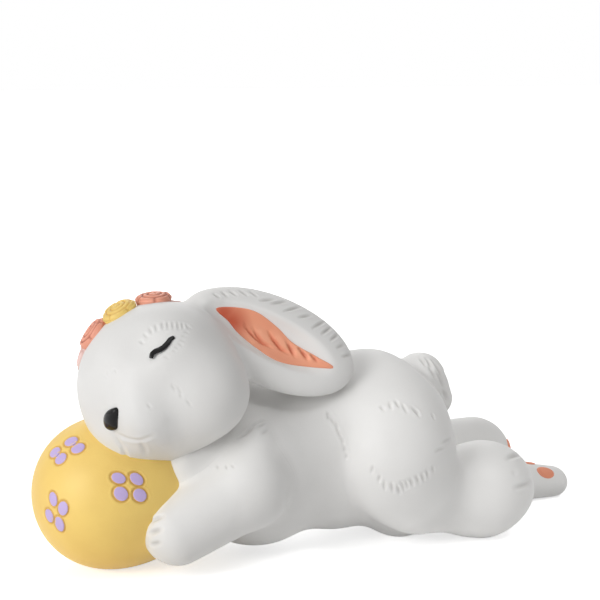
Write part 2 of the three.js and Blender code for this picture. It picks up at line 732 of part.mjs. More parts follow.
const roseColours = [coral, cream, coral, blush, cream, coral];
for (let i = 0; i < CROWN_ROSES; i += 1) {
  placeRose(`rose_${i + 1}`, 1 - i, ROSE_DIAMETER, ROSE_HEIGHT, roseColours[i % roseColours.length]);
}
placeRose("rosebud", 2, BUD_DIAMETER, BUD_HEIGHT, blush);

// Stand the figure over the origin
const box = new THREE.Box3().setFromObject(figurine);
figurine.position.set(-(box.min.x + box.max.x) / 2, -(box.min.y + box.max.y) / 2, -box.min.z);
figurine.updateMatrixWorld(true);

export default figurine;
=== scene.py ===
"""Looks of a sleeping rabbit figurine with its head on an egg, in cast and painted resin.

Forms are distance fields in millimetres, in the sculptor's frame: X from head to tail,
-Y to the rabbit's left, Z up, and the chest at X = 0. Each casting is meshed finely from its field.
"""
import math

import bpy
import numpy as np
from numpy.linalg import norm
from mathutils import Matrix, Vector

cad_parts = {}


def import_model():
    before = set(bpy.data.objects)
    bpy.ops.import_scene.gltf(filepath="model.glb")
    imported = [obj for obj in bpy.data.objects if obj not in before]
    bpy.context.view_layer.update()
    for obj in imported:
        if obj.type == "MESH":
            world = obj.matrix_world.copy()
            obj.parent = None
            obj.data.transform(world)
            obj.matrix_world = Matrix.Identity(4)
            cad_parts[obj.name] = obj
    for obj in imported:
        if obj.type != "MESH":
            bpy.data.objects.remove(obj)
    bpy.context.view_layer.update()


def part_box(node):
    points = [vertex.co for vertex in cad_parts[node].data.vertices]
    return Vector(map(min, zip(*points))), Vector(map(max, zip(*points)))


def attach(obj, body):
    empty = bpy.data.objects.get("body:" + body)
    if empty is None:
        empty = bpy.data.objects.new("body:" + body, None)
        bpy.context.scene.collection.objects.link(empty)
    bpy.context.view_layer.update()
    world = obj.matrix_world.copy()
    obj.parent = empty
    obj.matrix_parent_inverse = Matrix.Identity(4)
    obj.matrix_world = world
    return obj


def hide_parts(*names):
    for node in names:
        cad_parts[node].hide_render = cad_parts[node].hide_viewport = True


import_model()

MM = 0.001
LEFT, RIGHT = -1, 1
SIDES = {LEFT: "left", RIGHT: "right"}


def vec(x, y, z):
    return np.array([x, y, z], float)


def unit(v):
    return v / norm(v)


def sided(side, place):
    return vec(1, side, 1) * place


TINY = 1e-9


# Sizes and places of the castings, as in the solids; places are those of the right side

EGG_DIAMETER, EGG_LENGTH, EGG_TAPER, EGG_FLAT, EGG_SETTING = 48.2, 59.8, 0.14, 0.2, 43.1
EGG_TAPER_END = 1.2
CHEST_DIAMETER, CHEST_HEIGHT, TORSO_SPAN = 53, 28.5, 47
BELLY_SIZE, BELLY_PLACE = (64, 46, 59), (28, 0, 33.6)
RUMP_SIZE, RUMP_HEIGHT, RUMP_TILT = (40.5, 52, 65), 30.9, 13
NECK_ROOT_DIAMETER, NECK_DIAMETER = 40, 32
NECK_ROOT_SWAY, NECK_SWAY, NECK_SETBACK = 3, 7, 4
BREAST_ROOT_DIAMETER, BREAST_ROOT_PLACE = 29, (-6, 12, 33)
BREAST_DIAMETER, BREAST_PLACE = 21, (-26, 12, 33)
HAUNCH_SIZE, HAUNCH_PLACE = (40, 32, 43.8), (42.5, 18, 33.6)
THIGH_DIAMETER, THIGH_PLACE = 30, (42.5, 18, 28)
HOCK_DIAMETER, HOCK_PLACE = 28, (49.5, 17.5, 19)
HEAD_LENGTH, HEAD_WIDTH, HEAD_DEPTH = 51, 55, 50
HEAD_SETBACK, HEAD_OFFSET, HEAD_RISE = 9.6, 5, 10.4
HEAD_TURN, HEAD_NOD, HEAD_LEAN = 31, 17, 41
MUZZLE_DIAMETER, MUZZLE_REACH, MUZZLE_SPREAD, MUZZLE_DROP = 21, 15, 7.5, 6
CHEEK_DIAMETER, CHEEK_SPREAD, CHEEK_DROP = 29, 13, 12
SHOULDER_DIAMETER, SHOULDER_PLACE = 8, (-6.5, 20.5, 42)
ELBOW_DIAMETER, ELBOW_PLACE = 26.4, (-9.8, 20.5, 27.2)
PAW_DIAMETER, PAW_PLACE = 22, (-32.8, 20.5, 15.3)
FOOT_SIZE, FOOT_PLACE = (36, 33, 32.6), (76, 14.5, 15.9)
SHIN_DIAMETER, SHIN_PLACE, SHIN_END = 27, (52.5, 16.8, 18), (67, 14.5, 15.9)
SOLE_FACING, SOLE_EDGE = (0.65, 0, -0.76), (90.8, 0, 8.8)
LEG_DIAMETER, ANKLE_PLACE, HEEL_PLACE = 27, (52.5, 20.5, 17.5), (91, 20.5, 18.4)
INSTEP_DIAMETER, INSTEP_PLACE = 17, (91, 21, 8.4)
TOE_DIAMETER, TOE_PLACE, TOE_THINNING = 11, (124, 21, 5.3), 0.75
TAIL_LENGTH, TAIL_DIAMETER, TAIL_TIP_DIAMETER = 24, 17, 12
TAIL_SETTING, TAIL_HEIGHT, TAIL_SLOPE = 15.5, 48.8, 53

# Widths over which forms run into each other

TORSO_CREASE, BREAST_CREASE, THIGH_CREASE = 6, 5, 8
HAUNCH_CREASE, HAUNCH_CREASE_GAIN, HAUNCH_CREASE_HEIGHTS = 2.0, 10, (33.6, 55.5)
HEAD_CREASE, SHOULDER_CREASE, FOOT_CREASE, LIMB_CREASE = 5, 3, 4, 2.6
EAR_CREASE, STALK_CREASE, HOLLOW_EDGE = 3, 6, 1.6

egg_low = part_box("egg")[0]
SHIFT = vec(egg_low[0] / MM + EGG_SETTING + EGG_LENGTH / 2, 0, 0)


# Distance fields: millimetres outside the surface, negative inside

def ellipsoid(centre, size, axes=None):
    half = np.array(size, float) / 2

    def field(p):
        q = p - centre
        if axes is not None:
            q = q @ axes
        k = np.sqrt(((q / half) ** 2).sum(1))
        slope = np.sqrt(((q / half**2) ** 2).sum(1))
        return np.where(slope > TINY, k * (k - 1) / np.maximum(slope, TINY), -half.min())

    return field


def ball(centre, diameter):
    return lambda p: np.sqrt(((p - centre) ** 2).sum(1)) - diameter / 2


def taper(start, start_diameter, end, end_diameter):
    """Two balls and the cone that wraps them."""
    span = norm(end - start)
    axis = (end - start) / span
    lean = (start_diameter - end_diameter) / 2 / span
    rise = math.sqrt(1 - lean * lean)

    def field(p):
        q = p - start
        along = q @ axis
        away = np.sqrt(np.maximum((q * q).sum(1) - along * along, 0))
        foot = along - away * lean / rise
        cone = away * rise + along * lean - start_diameter / 2
        first = np.sqrt((q * q).sum(1)) - start_diameter / 2
        last = np.sqrt(((p - end) ** 2).sum(1)) - end_diameter / 2
        return np.where(foot <= 0, first, np.where(foot >= span, last, cone))

    return field


def soft_min(a, b, width):
    h = np.maximum(width - np.abs(a - b), 0) / width
    return np.minimum(a, b) - h * h * width / 4


def blend(f, g, width):
    return lambda p: soft_min(f(p), g(p), width)


def carve(f, g, width):
    return lambda p: -soft_min(-f(p), g(p), width)


def within(f, g):
    return lambda p: np.maximum(f(p), g(p))


PROBE, LEAST_SLOPE, LONGEST_MOVE = 0.02, 0.05, 1.5


def slope_of(field, p, here):
    return np.stack([(field(p + d) - here) / PROBE for d in np.eye(3) * PROBE], 1)


def normals_of(field, p):
    g = slope_of(field, p, field(p))
    return g / np.maximum(norm(g, axis=1, keepdims=True), TINY)


def settle(field, p, rounds=4):
    """Moves points onto the surface."""
    for _ in range(rounds):
        here = field(p)
        g = slope_of(field, p, here)
        g2 = np.maximum((g * g).sum(1), LEAST_SLOPE)
        p = p - g * np.clip(here / g2, -LONGEST_MOVE, LONGEST_MOVE)[:, None]
    return p


MARCH_STEPS, MARCH_SHARE, MARCH_LIMIT = 260, 0.7, 900.0


def march(field, start, direction):
    """Surface points met from a start along directions, or the nearest where a line misses."""
    direction = np.atleast_2d(direction)
    t, place = np.zeros((2, len(direction)))
    nearest = np.full(len(direction), MARCH_LIMIT)
    for _ in range(MARCH_STEPS):
        away = field(start + direction * t[:, None])
        place = np.where(away < nearest, t, place)
        nearest = np.minimum(away, nearest)
        t = np.minimum(t + away * MARCH_SHARE, MARCH_LIMIT)
    return settle(field, start + direction * place[:, None])


REACH_LIMIT, REACH_STEP = 70, 0.02


def reach(field, start, direction):
    """The surface point met from inside along one direction."""
    t = np.arange(0, REACH_LIMIT, REACH_STEP)
    outside = field(start + direction * t[:, None]) > 0
    return start + direction * t[np.argmax(outside)]


# Meshing: one point in every cell that the surface crosses. Only blocks of cells near the surface
# are worked out, a chunk of blocks at a time; all others lie plainly inside or outside.

BLOCK, BLOCK_REACH, CHUNK = 12, 1.15, 120
OUTSIDE = 9.0
SMOOTH_ROUNDS, SMOOTH_KEPT = 2, 0.4


def mesh_of(field, low, high, step):
    low = np.array(low, float)
    blocks = np.ceil((np.array(high, float) - low) / (step * BLOCK)).astype(int)
    index = np.stack(np.meshgrid(*[np.arange(b) for b in blocks], indexing="ij"), -1).reshape(-1, 3)
    centre = low + (index * BLOCK + (BLOCK - 1) / 2) * step
    value = field(centre)
    near = np.abs(value) < BLOCK * step * BLOCK_REACH
    grid = np.where(value < 0, -OUTSIDE, OUTSIDE).reshape(blocks)
    for axis in range(3):
        grid = np.repeat(grid, BLOCK, axis)
    cell = np.stack(np.meshgrid(*[np.arange(BLOCK)] * 3, indexing="ij"), -1).reshape(-1, 3)
    for chunk in np.array_split(index[near], max(1, near.sum() // CHUNK)):
        node = (chunk[:, None, :] * BLOCK + cell).reshape(-1, 3)
        grid[node[:, 0], node[:, 1], node[:, 2]] = field(low + node * step)
    for edge in (0, -1):
        grid[edge], grid[:, edge], grid[:, :, edge] = OUTSIDE, OUTSIDE, OUTSIDE
    inside = grid < 0
    n = np.array(grid.shape) - 1
    corners = [(i, j, k) for i in (0, 1) for j in (0, 1) for k in (0, 1)]

    def at(a, c):
        return a[c[0]:c[0] + n[0], c[1]:c[1] + n[1], c[2]:c[2] + n[2]]

    count = sum(at(inside, c).astype(np.uint8) for c in corners)
    mixed = (count > 0) & (count < 8)
    cells = np.argwhere(mixed)
    number = np.full(mixed.shape, -1)
    number[mixed] = np.arange(len(cells))
    corner = np.array(corners)
    values = np.stack([grid[tuple((cells + c).T)] for c in corner], 1)
    total, crossings = np.zeros((len(cells), 3)), np.zeros(len(cells))
    for a in range(8):
        for b in range(a + 1, 8):
            if np.abs(corner[a] - corner[b]).sum() != 1:
                continue
            crossed = (values[:, a] < 0) != (values[:, b] < 0)
            drop = np.where(crossed, values[:, a] - values[:, b], 1)
            t = np.where(crossed, values[:, a] / drop, 0)
            point = corner[a] + t[:, None] * (corner[b] - corner[a])
            total += np.where(crossed[:, None], point, 0)
            crossings += crossed
    points = low + (cells + total / crossings[:, None]) * step
    quads = []
    for axis in range(3):
        one, two = (axis + 1) % 3, (axis + 2) % 3
        move = np.eye(3, dtype=int)
        span = [slice(1, -1)] * 3
        span[axis] = slice(0, -1)
        after = [slice(1, -1)] * 3
        after[axis] = slice(1, None)
        change = inside[tuple(span)].astype(int) - inside[tuple(after)]
        for sign in (1, -1):
            edge = np.argwhere(change == sign)
            edge[:, one] += 1
            edge[:, two] += 1
            ring = [edge - move[one] - move[two], edge - move[two], edge, edge - move[one]]
            if sign < 0:
                ring.reverse()
            quads.append(np.stack([number[tuple(c.T)] for c in ring], 1))
    quads = np.concatenate(quads)
    edges = np.concatenate([quads[:, [i, (i + 1) % 4]] for i in range(4)])
    weight = np.bincount(edges[:, 0], minlength=len(points)).astype(float)[:, None]
    for _ in range(SMOOTH_ROUNDS):
        around = points[edges[:, 1]].T
        mean = np.stack([np.bincount(edges[:, 0], part, len(points)) for part in around], 1)
        points = settle(field, points * SMOOTH_KEPT + (1 - SMOOTH_KEPT) * mean / weight, 1)
    return settle(field, points, 3), quads


# Head frame: X out of the nose, Y to the rabbit's left, Z out of the crown

def spin(axis, degrees):
    return np.array(Matrix.Rotation(math.radians(degrees), 3, axis))


egg_centre = vec(-EGG_SETTING, 0, EGG_DIAMETER / 2 - EGG_FLAT)
head = vec(egg_centre[0] + HEAD_SETBACK, -HEAD_OFFSET, EGG_DIAMETER - EGG_FLAT + HEAD_RISE)
head_axes = spin("Z", 180 + HEAD_TURN) @ spin("Y", HEAD_NOD) @ spin("X", HEAD_LEAN)


def on_head(x, y, z):
    return head + head_axes @ vec(x, y, z)


def from_head(x, y, z):
    return unit(head_axes @ vec(x, y, z))


# Castings

def egg_form(p):
    q = p - egg_centre
    along = np.clip(q[:, 0] / (EGG_LENGTH / 2), -EGG_TAPER_END, EGG_TAPER_END)
    radius = np.sqrt(q[:, 1] ** 2 + q[:, 2] ** 2) / (1 - EGG_TAPER * along)
    a, b = EGG_LENGTH / 2, EGG_DIAMETER / 2
    k = np.sqrt((q[:, 0] / a) ** 2 + (radius / b) ** 2)
    slope = np.sqrt((q[:, 0] / a**2) ** 2 + (radius / b**2) ** 2)
    return np.where(slope > TINY, k * (k - 1) / np.maximum(slope, TINY), -b)


def shelf(p):
    return -p[:, 2]


chest = vec(0, 0, CHEST_HEIGHT)


def ramp(v, low, high):
    t = np.clip((v - low) / (high - low), 0, 1)
    return t * t * (3 - 2 * t)


def torso_form():
    belly = ellipsoid(vec(*BELLY_PLACE), BELLY_SIZE)
    field = blend(ball(chest, CHEST_DIAMETER), belly, TORSO_CREASE)
    rump = ellipsoid(vec(TORSO_SPAN, 0, RUMP_HEIGHT), RUMP_SIZE, spin("Y", -RUMP_TILT))
    field = blend(field, rump, TORSO_CREASE)
    neck_root, neck_top = chest + vec(0, NECK_ROOT_SWAY, 0), head + vec(NECK_SETBACK, NECK_SWAY, 0)
    neck = taper(neck_root, NECK_ROOT_DIAMETER, neck_top, NECK_DIAMETER)
    field = blend(field, neck, TORSO_CREASE)
    for side in SIDES:
        root, front = sided(side, BREAST_ROOT_PLACE), sided(side, BREAST_PLACE)
        breast = taper(root, BREAST_ROOT_DIAMETER, front, BREAST_DIAMETER)
        field = blend(field, breast, BREAST_CREASE)
    haunches = []
    for side in SIDES:
        haunch = ellipsoid(sided(side, HAUNCH_PLACE), HAUNCH_SIZE)
        knee, hock = sided(side, THIGH_PLACE), sided(side, HOCK_PLACE)
        thigh = taper(knee, THIGH_DIAMETER, hock, HOCK_DIAMETER)
        haunches.append(blend(haunch, thigh, THIGH_CREASE))

    def whole(p):
        value = field(p)
        width = HAUNCH_CREASE + HAUNCH_CREASE_GAIN * ramp(p[:, 2], *HAUNCH_CREASE_HEIGHTS)
        for haunch in haunches:
            value = soft_min(value, haunch(p), width)
        return value

    return whole


def head_form():
    field = ellipsoid(head, (HEAD_LENGTH, HEAD_WIDTH, HEAD_DEPTH), head_axes)
    for side in SIDES:
        muzzle = ball(on_head(MUZZLE_REACH, -side * MUZZLE_SPREAD, -MUZZLE_DROP), MUZZLE_DIAMETER)
        cheek = ball(on_head(0, -side * CHEEK_SPREAD, -CHEEK_DROP), CHEEK_DIAMETER)
        field = blend(blend(field, muzzle, HEAD_CREASE), cheek, HEAD_CREASE)
    return field


torso_only = torso_form()
head_only = head_form()


def foreleg_form(side):
    elbow = sided(side, ELBOW_PLACE)
    lower = taper(elbow, ELBOW_DIAMETER, sided(side, PAW_PLACE), PAW_DIAMETER)
    upper = taper(elbow, ELBOW_DIAMETER, sided(side, SHOULDER_PLACE), SHOULDER_DIAMETER)
    return blend(lower, upper, SHOULDER_CREASE)


def tucked_form(side):
    foot = ellipsoid(sided(side, FOOT_PLACE), FOOT_SIZE)
    shin = taper(sided(side, SHIN_PLACE), SHIN_DIAMETER, sided(side, SHIN_END), SHIN_DIAMETER)
    tread, edge = unit(vec(*SOLE_FACING)), vec(*SOLE_EDGE)

    def field(p):
        whole = soft_min(foot(p), shin(p), FOOT_CREASE)
        return -soft_min(-whole, -((p - edge) @ tread), FOOT_CREASE)

    return field


def stretched_form(side):
    leg = taper(sided(side, ANKLE_PLACE), LEG_DIAMETER, sided(side, HEEL_PLACE), LEG_DIAMETER)
    toe = sided(side, TOE_PLACE)
    foot = taper(sided(side, INSTEP_PLACE), INSTEP_DIAMETER, toe, TOE_DIAMETER)
    stretch = vec(1, TOE_THINNING, 1)
    recentre = vec(0, toe[1] * (1 - TOE_THINNING), 0)

    def field(p):
        return soft_min(leg(p), foot(p * stretch + recentre), FOOT_CREASE)

    return field


def tail_form():
    middle = vec(TORSO_SPAN + TAIL_SETTING, 0, TAIL_HEIGHT)
    slope = math.radians(TAIL_SLOPE)
    along = vec(math.cos(slope), 0, -math.sin(slope))
    half = TAIL_LENGTH / 2 - (TAIL_DIAMETER + TAIL_TIP_DIAMETER) / 4
    return taper(middle - along * half, TAIL_DIAMETER, middle + along * half, TAIL_TIP_DIAMETER)


limb_forms = {
    "left_foreleg": foreleg_form(LEFT),
    "right_foreleg": foreleg_form(RIGHT),
    "left_hind_foot": tucked_form(LEFT),
    "right_hind_foot": stretched_form(RIGHT),
    "tail": tail_form(),
}

body = torso_only
for limb_form in limb_forms.values():
    body = blend(body, limb_form, LIMB_CREASE)


# Ears, each laid back over a shoulder

EAR_LENGTH, EAR_WIDTH, EAR_THICKNESS, EAR_FLARE = 57.5, 32, 13, 0.04
EAR_SET = {LEFT: (23.7, 17), RIGHT: (24, 9)}
EAR_FACE, EAR_OVERLAP = 33, 1
EAR_BACK, EAR_SPREAD, EAR_RISE = 17, 15, 12
STALK_DIAMETER, STALK_END_DIAMETER, STALK_DEPTH = 13, 8, 10
HOLLOW, HOLLOW_AT, HOLLOW_TILT = (47, 15, 9), (-0.5, 2.0), 5.0


def ear_root(side):
    """Direction from the middle of the head to the root of an ear."""
    return from_head(-EAR_BACK, -side * EAR_SPREAD, EAR_RISE)


def ear_frame(side):
    droop, splay = [math.radians(a) for a in EAR_SET[side]]
    flat = math.cos(droop)
    along = vec(flat * math.cos(splay), side * flat * math.sin(splay), -math.sin(droop))
    face = vec(0, side * math.cos(math.radians(EAR_FACE)), math.sin(math.radians(EAR_FACE)))
    face = unit(face - along * (face @ along))
    axes = np.stack([along, np.cross(face, along), face], 1)
    base = reach(head_only, head, ear_root(side))
    return axes, base, base + along * (EAR_LENGTH / 2 - EAR_OVERLAP)


def ear_form(side):
    axes, base, middle = ear_frame(side)
    plain = ellipsoid(vec(0, 0, 0), (EAR_LENGTH, EAR_WIDTH, EAR_THICKNESS))

    def leaf(p):
        q = (p - middle) @ axes
        wide = 1.0 + EAR_FLARE * np.clip(q[:, 0] / (EAR_LENGTH / 2), -1, 1)
        return plain(np.stack([q[:, 0], q[:, 1] / wide, q[:, 2]], 1))

    start = middle - axes[:, 0] * (EAR_LENGTH - EAR_THICKNESS) / 2
    stalk = taper(base - ear_root(side) * STALK_DEPTH, STALK_DIAMETER, start, STALK_END_DIAMETER)
    centre = middle + axes @ vec(HOLLOW_AT[0], side * HOLLOW_AT[1], EAR_THICKNESS / 2)
    scoop = ellipsoid(centre, HOLLOW, axes @ spin("Z", side * HOLLOW_TILT))
    return carve(blend(leaf, stalk, STALK_CREASE), scoop, HOLLOW_EDGE)


ear_forms = {side: ear_form(side) for side in SIDES}
whole_head = head_only
for side in SIDES:
    whole_head = blend(whole_head, ear_forms[side], EAR_CREASE)


# The picture's camera, so that marks go where the picture shows them

CAMERA_AZIMUTH, CAMERA_TILT, CAMERA_LENS, SENSOR, PICTURE = -22.0, 8.54, 100.0, 36.0, 600
CAMERA_PLACE = vec(-212.6, -496.4, 161.8)
az, tilt = math.radians(CAMERA_AZIMUTH), math.radians(CAMERA_TILT)
look = -vec(math.sin(az) * math.cos(tilt), -math.cos(az) * math.cos(tilt), math.sin(tilt))
across = vec(math.cos(az), math.sin(az), 0)
upward = np.cross(across, look)


def seen(points, field):
    """Surface points behind picture points."""
    points = np.atleast_2d(np.array(points, float))
    focal = PICTURE * CAMERA_LENS / SENSOR
    right, up = points[:, :1] - PICTURE / 2, PICTURE / 2 - points[:, 1:]
    rays = look + across * right / focal + upward * up / focal
    rays /= norm(rays, axis=1, keepdims=True)
    return march(field, CAMERA_PLACE - SHIFT, rays)


# Marks in a surface: each gives how far points move and how much painted shade darkens them.
# A cut's size is its half width, its depth and its darkening, the painted shade in its bed.

CUT_REACH, LIP_PLACE, LIP_WIDTH, LIP_HEIGHT = 3, 1.8, 0.8, 0.3
FADE_ENDS, FADE_POWER = (0.04, 0.96), 0.6


def cut(path, width, depth, darkening, closed=False):
    """A stroke cut along a path, with raised lips and painted shade in its bed, fading at its ends
    unless it is closed.
    """
    path = np.array(path)
    if closed:
        path = np.concatenate([path, path[:1]])
    low, high = path.min(0) - CUT_REACH * width, path.max(0) + CUT_REACH * width
    lengths = norm(path[1:] - path[:-1], axis=1)
    starts = np.concatenate([[0], np.cumsum(lengths)])

    def mark(points):
        depths, painted_shade = np.zeros(len(points)), np.zeros(len(points))
        near = np.where(((points > low) & (points < high)).all(1))[0]
        q = points[near]
        best, along = np.full(len(q), 1e9), np.zeros(len(q))
        for a, b, start, length in zip(path[:-1], path[1:], starts, lengths):
            t = np.clip(((q - a) @ (b - a)) / max(length**2, TINY), 0, 1)
            away = norm(q - a - t[:, None] * (b - a), axis=1)
            along = np.where(away < best, start + t * length, along)
            best = np.minimum(away, best)
        share = np.clip(along / starts[-1], *FADE_ENDS)
        fade = 1 if closed else np.sin(np.pi * share) ** FADE_POWER
        bed = np.exp(-((best / width) ** 2))
        lip = np.exp(-(((best - LIP_PLACE * width) / (LIP_WIDTH * width)) ** 2))
        depths[near] = -depth * fade * (bed - LIP_HEIGHT * lip)
        painted_shade[near] = darkening * fade * bed
        return depths, painted_shade

    return mark


def dent(centre, radius, depth):
    """A shallow round hollow."""
    def mark(points):
        away = ((points - centre) ** 2).sum(1) / radius**2
        return -depth * np.exp(-away), np.zeros(len(points))

    return mark


def mirror(points):
    """The same place on the other side of the body."""
    return np.array(points) * vec(1, -1, 1)


def mirror_head(points):
    """The same place on the other side of the face."""
    return ((np.array(points) - head) @ head_axes * vec(1, -1, 1)) @ head_axes.T + head


def strokes(picture, field, size, other=None):
    """Short cut strokes, given by the picture points of their ends, also on the other side."""
    picture = np.array(picture, float).reshape(-1, 2)
    ends = seen(picture, field).reshape(-1, 2, 3)
    marks = []
    for a, b in ends:
        path = settle(field, np.stack([a, (a * 2 + b) / 3, (a + b * 2) / 3, b]))
        marks.append(cut(path, *size))
        if other is not None:
            marks.append(cut(settle(field, other(path)), *size))
    return marks


# Small painted forms bedded in a surface.
# An inlay's size is its lift, its crown, how deep it is sunk and its number of rings.

def ring_of(picture, count=24):
    """Points round an oval of the picture: centre, half length, half width and angle."""
    x, y, a, b, angle = picture
    t = np.linspace(0, 2 * np.pi, count, endpoint=False)
    c, s = math.cos(math.radians(angle)), math.sin(math.radians(angle))
    along, aside = a * np.cos(t), b * np.sin(t)
    return np.stack([x + along * c - aside * s, y + along * s + aside * c], 1)


EVEN_DETAIL = 6


def even(outline, count=40):
    """A smooth closed outline through points, evenly spaced."""
    outline = np.array(outline, float)
    n = len(outline)
    t = np.linspace(0, n, count * EVEN_DETAIL, endpoint=False)
    i = t.astype(int)
    f = (t - i)[:, None]
    a, b, c, d = [outline[(i + k) % n] for k in (-1, 0, 1, 2)]
    bend, twist = 2 * a - 5 * b + 4 * c - d, 3 * b - a - 3 * c + d
    curve = 0.5 * (2 * b + (c - a) * f + bend * f**2 + twist * f**3)
    gaps = norm(np.roll(curve, -1, 0) - curve, axis=1)
    along = np.concatenate([[0], np.cumsum(gaps)])
    want = np.linspace(0, along[-1], count, endpoint=False)
    curve = np.concatenate([curve, curve[:1]])
    return np.stack([np.interp(want, along, curve[:, k]) for k in range(curve.shape[1])], 1)


RING_POWER = 1.3


def inlay(outline, field, lift, crown, sink=0.5, rings=7):
    """A closed patch with a rounded face, bedded in the surface inside an outline."""
    outline = settle(field, np.array(outline))
    centre, n = outline.mean(0), len(outline)
    turn = np.cross(outline - centre, np.roll(outline, -1, 0) - centre).sum(0)
    if turn @ normals_of(field, settle(field, centre[None]))[0] < 0:
        outline = outline[::-1]
    share = 1 - (np.arange(rings) / rings) ** RING_POWER
    rows = [centre + (outline - centre) * r for r in share]
    bed = settle(field, np.concatenate([*rows, centre[None]]))
    normal = normals_of(field, bed)
    height = lift + crown * np.sqrt(np.maximum(1 - np.append(np.repeat(share, n), 0) ** 2, 0))
    points = np.concatenate([bed + normal * height[:, None], bed - normal * sink])
    under, faces = len(bed), []
    for j in range(n):
        k = (j + 1) % n
        for r in range(rings - 1):
            a, b, c, d = r * n + j, r * n + k, (r + 1) * n + k, (r + 1) * n + j
            faces.append((a, b, c, d))
            faces.append((d + under, c + under, b + under, a + under))
        last = (rings - 1) * n
        faces.append((last + j, last + k, rings * n))
        faces.append((rings * n + under, last + k + under, last + j + under))
        faces.append((k, j, j + under, k + under))
    return points, faces


def sweep(path, across, up, half_width, half_height, sides=12):
    """A closed tube of oval section along a path, with pointed ends."""
    t = np.linspace(0, 2 * np.pi, sides, endpoint=False)
    half = len(path) // 2
    if np.cross(across[half], up[half]) @ (path[half + 1] - path[half]) < 0:
        across = -across
    rows = [path[0][None]]
    for c, a, u, w, h in zip(path, across, up, half_width, half_height):
        rows.append(c + np.outer(np.cos(t), a) * w + np.outer(np.sin(t), u) * h)
    rows.append(path[-1][None])
    points = np.concatenate(rows)
    faces, last = [], len(points) - 1
    for j in range(sides):
        k = (j + 1) % sides
        faces.append((0, 1 + k, 1 + j))
        for r in range(len(path) - 1):
            a = 1 + r * sides
            faces.append((a + j, a + k, a + sides + k, a + sides + j))
        faces.append((last, last - sides + j, last - sides + k))
    return points, faces


def joined(parts):
    points, faces, start = [], [], 0
    for p, f in parts:
        points.append(p)
        faces.extend(tuple(i + start for i in face) for face in f)
        start += len(p)
    return np.concatenate(points), faces


RIBBON_END, RIBBON_RANGE = 0.6, (0.02, 0.98)


def ribbon(path, field, half_width, half_height):
    """A raised painted line on a surface, thinner towards its ends."""
    path = settle(field, np.array(path))
    normal = normals_of(field, path)
    along = np.gradient(path, axis=0)
    across = np.cross(normal, along)
    across /= norm(across, axis=1, keepdims=True)
    t = np.linspace(0, 1, len(path))
    swell = RIBBON_END + (1 - RIBBON_END) * np.sqrt(np.sin(np.pi * np.clip(t, *RIBBON_RANGE)))
    return sweep(path, across, normal, half_width * swell, half_height * swell)


# Objects

def put(name, data):
    thing = bpy.data.objects.new(name, data)
    bpy.context.scene.collection.objects.link(thing)
    return thing


def aim(thing, place, direction):
    thing.location = Vector(place)
    thing.rotation_mode = "QUATERNION"
    thing.rotation_quaternion = Vector(direction).to_track_quat("-Z", "Y")


def make(name, points, faces, material, replaced=None, slot=None, attributes=None):
    mesh = bpy.data.meshes.new(name)
    mesh.from_pydata(((points + SHIFT) * MM).tolist(), [], [list(map(int, f)) for f in faces])
    mesh.polygons.foreach_set("use_smooth", np.ones(len(mesh.polygons), bool))
    for key, values in (attributes or {}).items():
        layer = mesh.attributes.new(key, "FLOAT", "POINT")
        layer.data.foreach_set("value", np.ascontiguousarray(values, np.float32))
    mesh.materials.append(material)
    piece = put(name, mesh)
    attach(piece, "root")
    if replaced:
        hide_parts(replaced)
    return piece


# Materials

MOTTLE_SCALE, MOTTLE_DETAIL, MOTTLE_RANGE = 55, 5, (0.4, 0.75)
GRAIN_SCALE, GRAIN_DETAIL, GRAIN_STRENGTH, GRAIN_HEIGHT = 900, 4, 0.25, 0.00012
GLOSS_BELOW, GLOSS_ABOVE = 0.06, 0.08


def tree_of(owner):
    owner.use_nodes = True
    return owner.node_tree.nodes, owner.node_tree.links


def feed(node, **values):
    """Sets inputs of a node; an underscore stands for a space in a socket's name."""
    for key, value in values.items():
        node.inputs[key.replace("_", " ")].default_value = value
    return node


def combined(nodes, links, operation, a, b):
    """One value worked out from two."""
    node = nodes.new("ShaderNodeMath")
    node.operation = operation
    links.new(a, node.inputs[0])
    links.new(b, node.inputs[1])
    return node.outputs["Value"]


def linear(r, g, b):
    """Linear light of a display colour."""
    shares = [c / 255 for c in (r, g, b)]
    return tuple(c / 12.92 if c <= 10 / 255 else ((c + 0.055) / 1.055) ** 2.4 for c in shares)


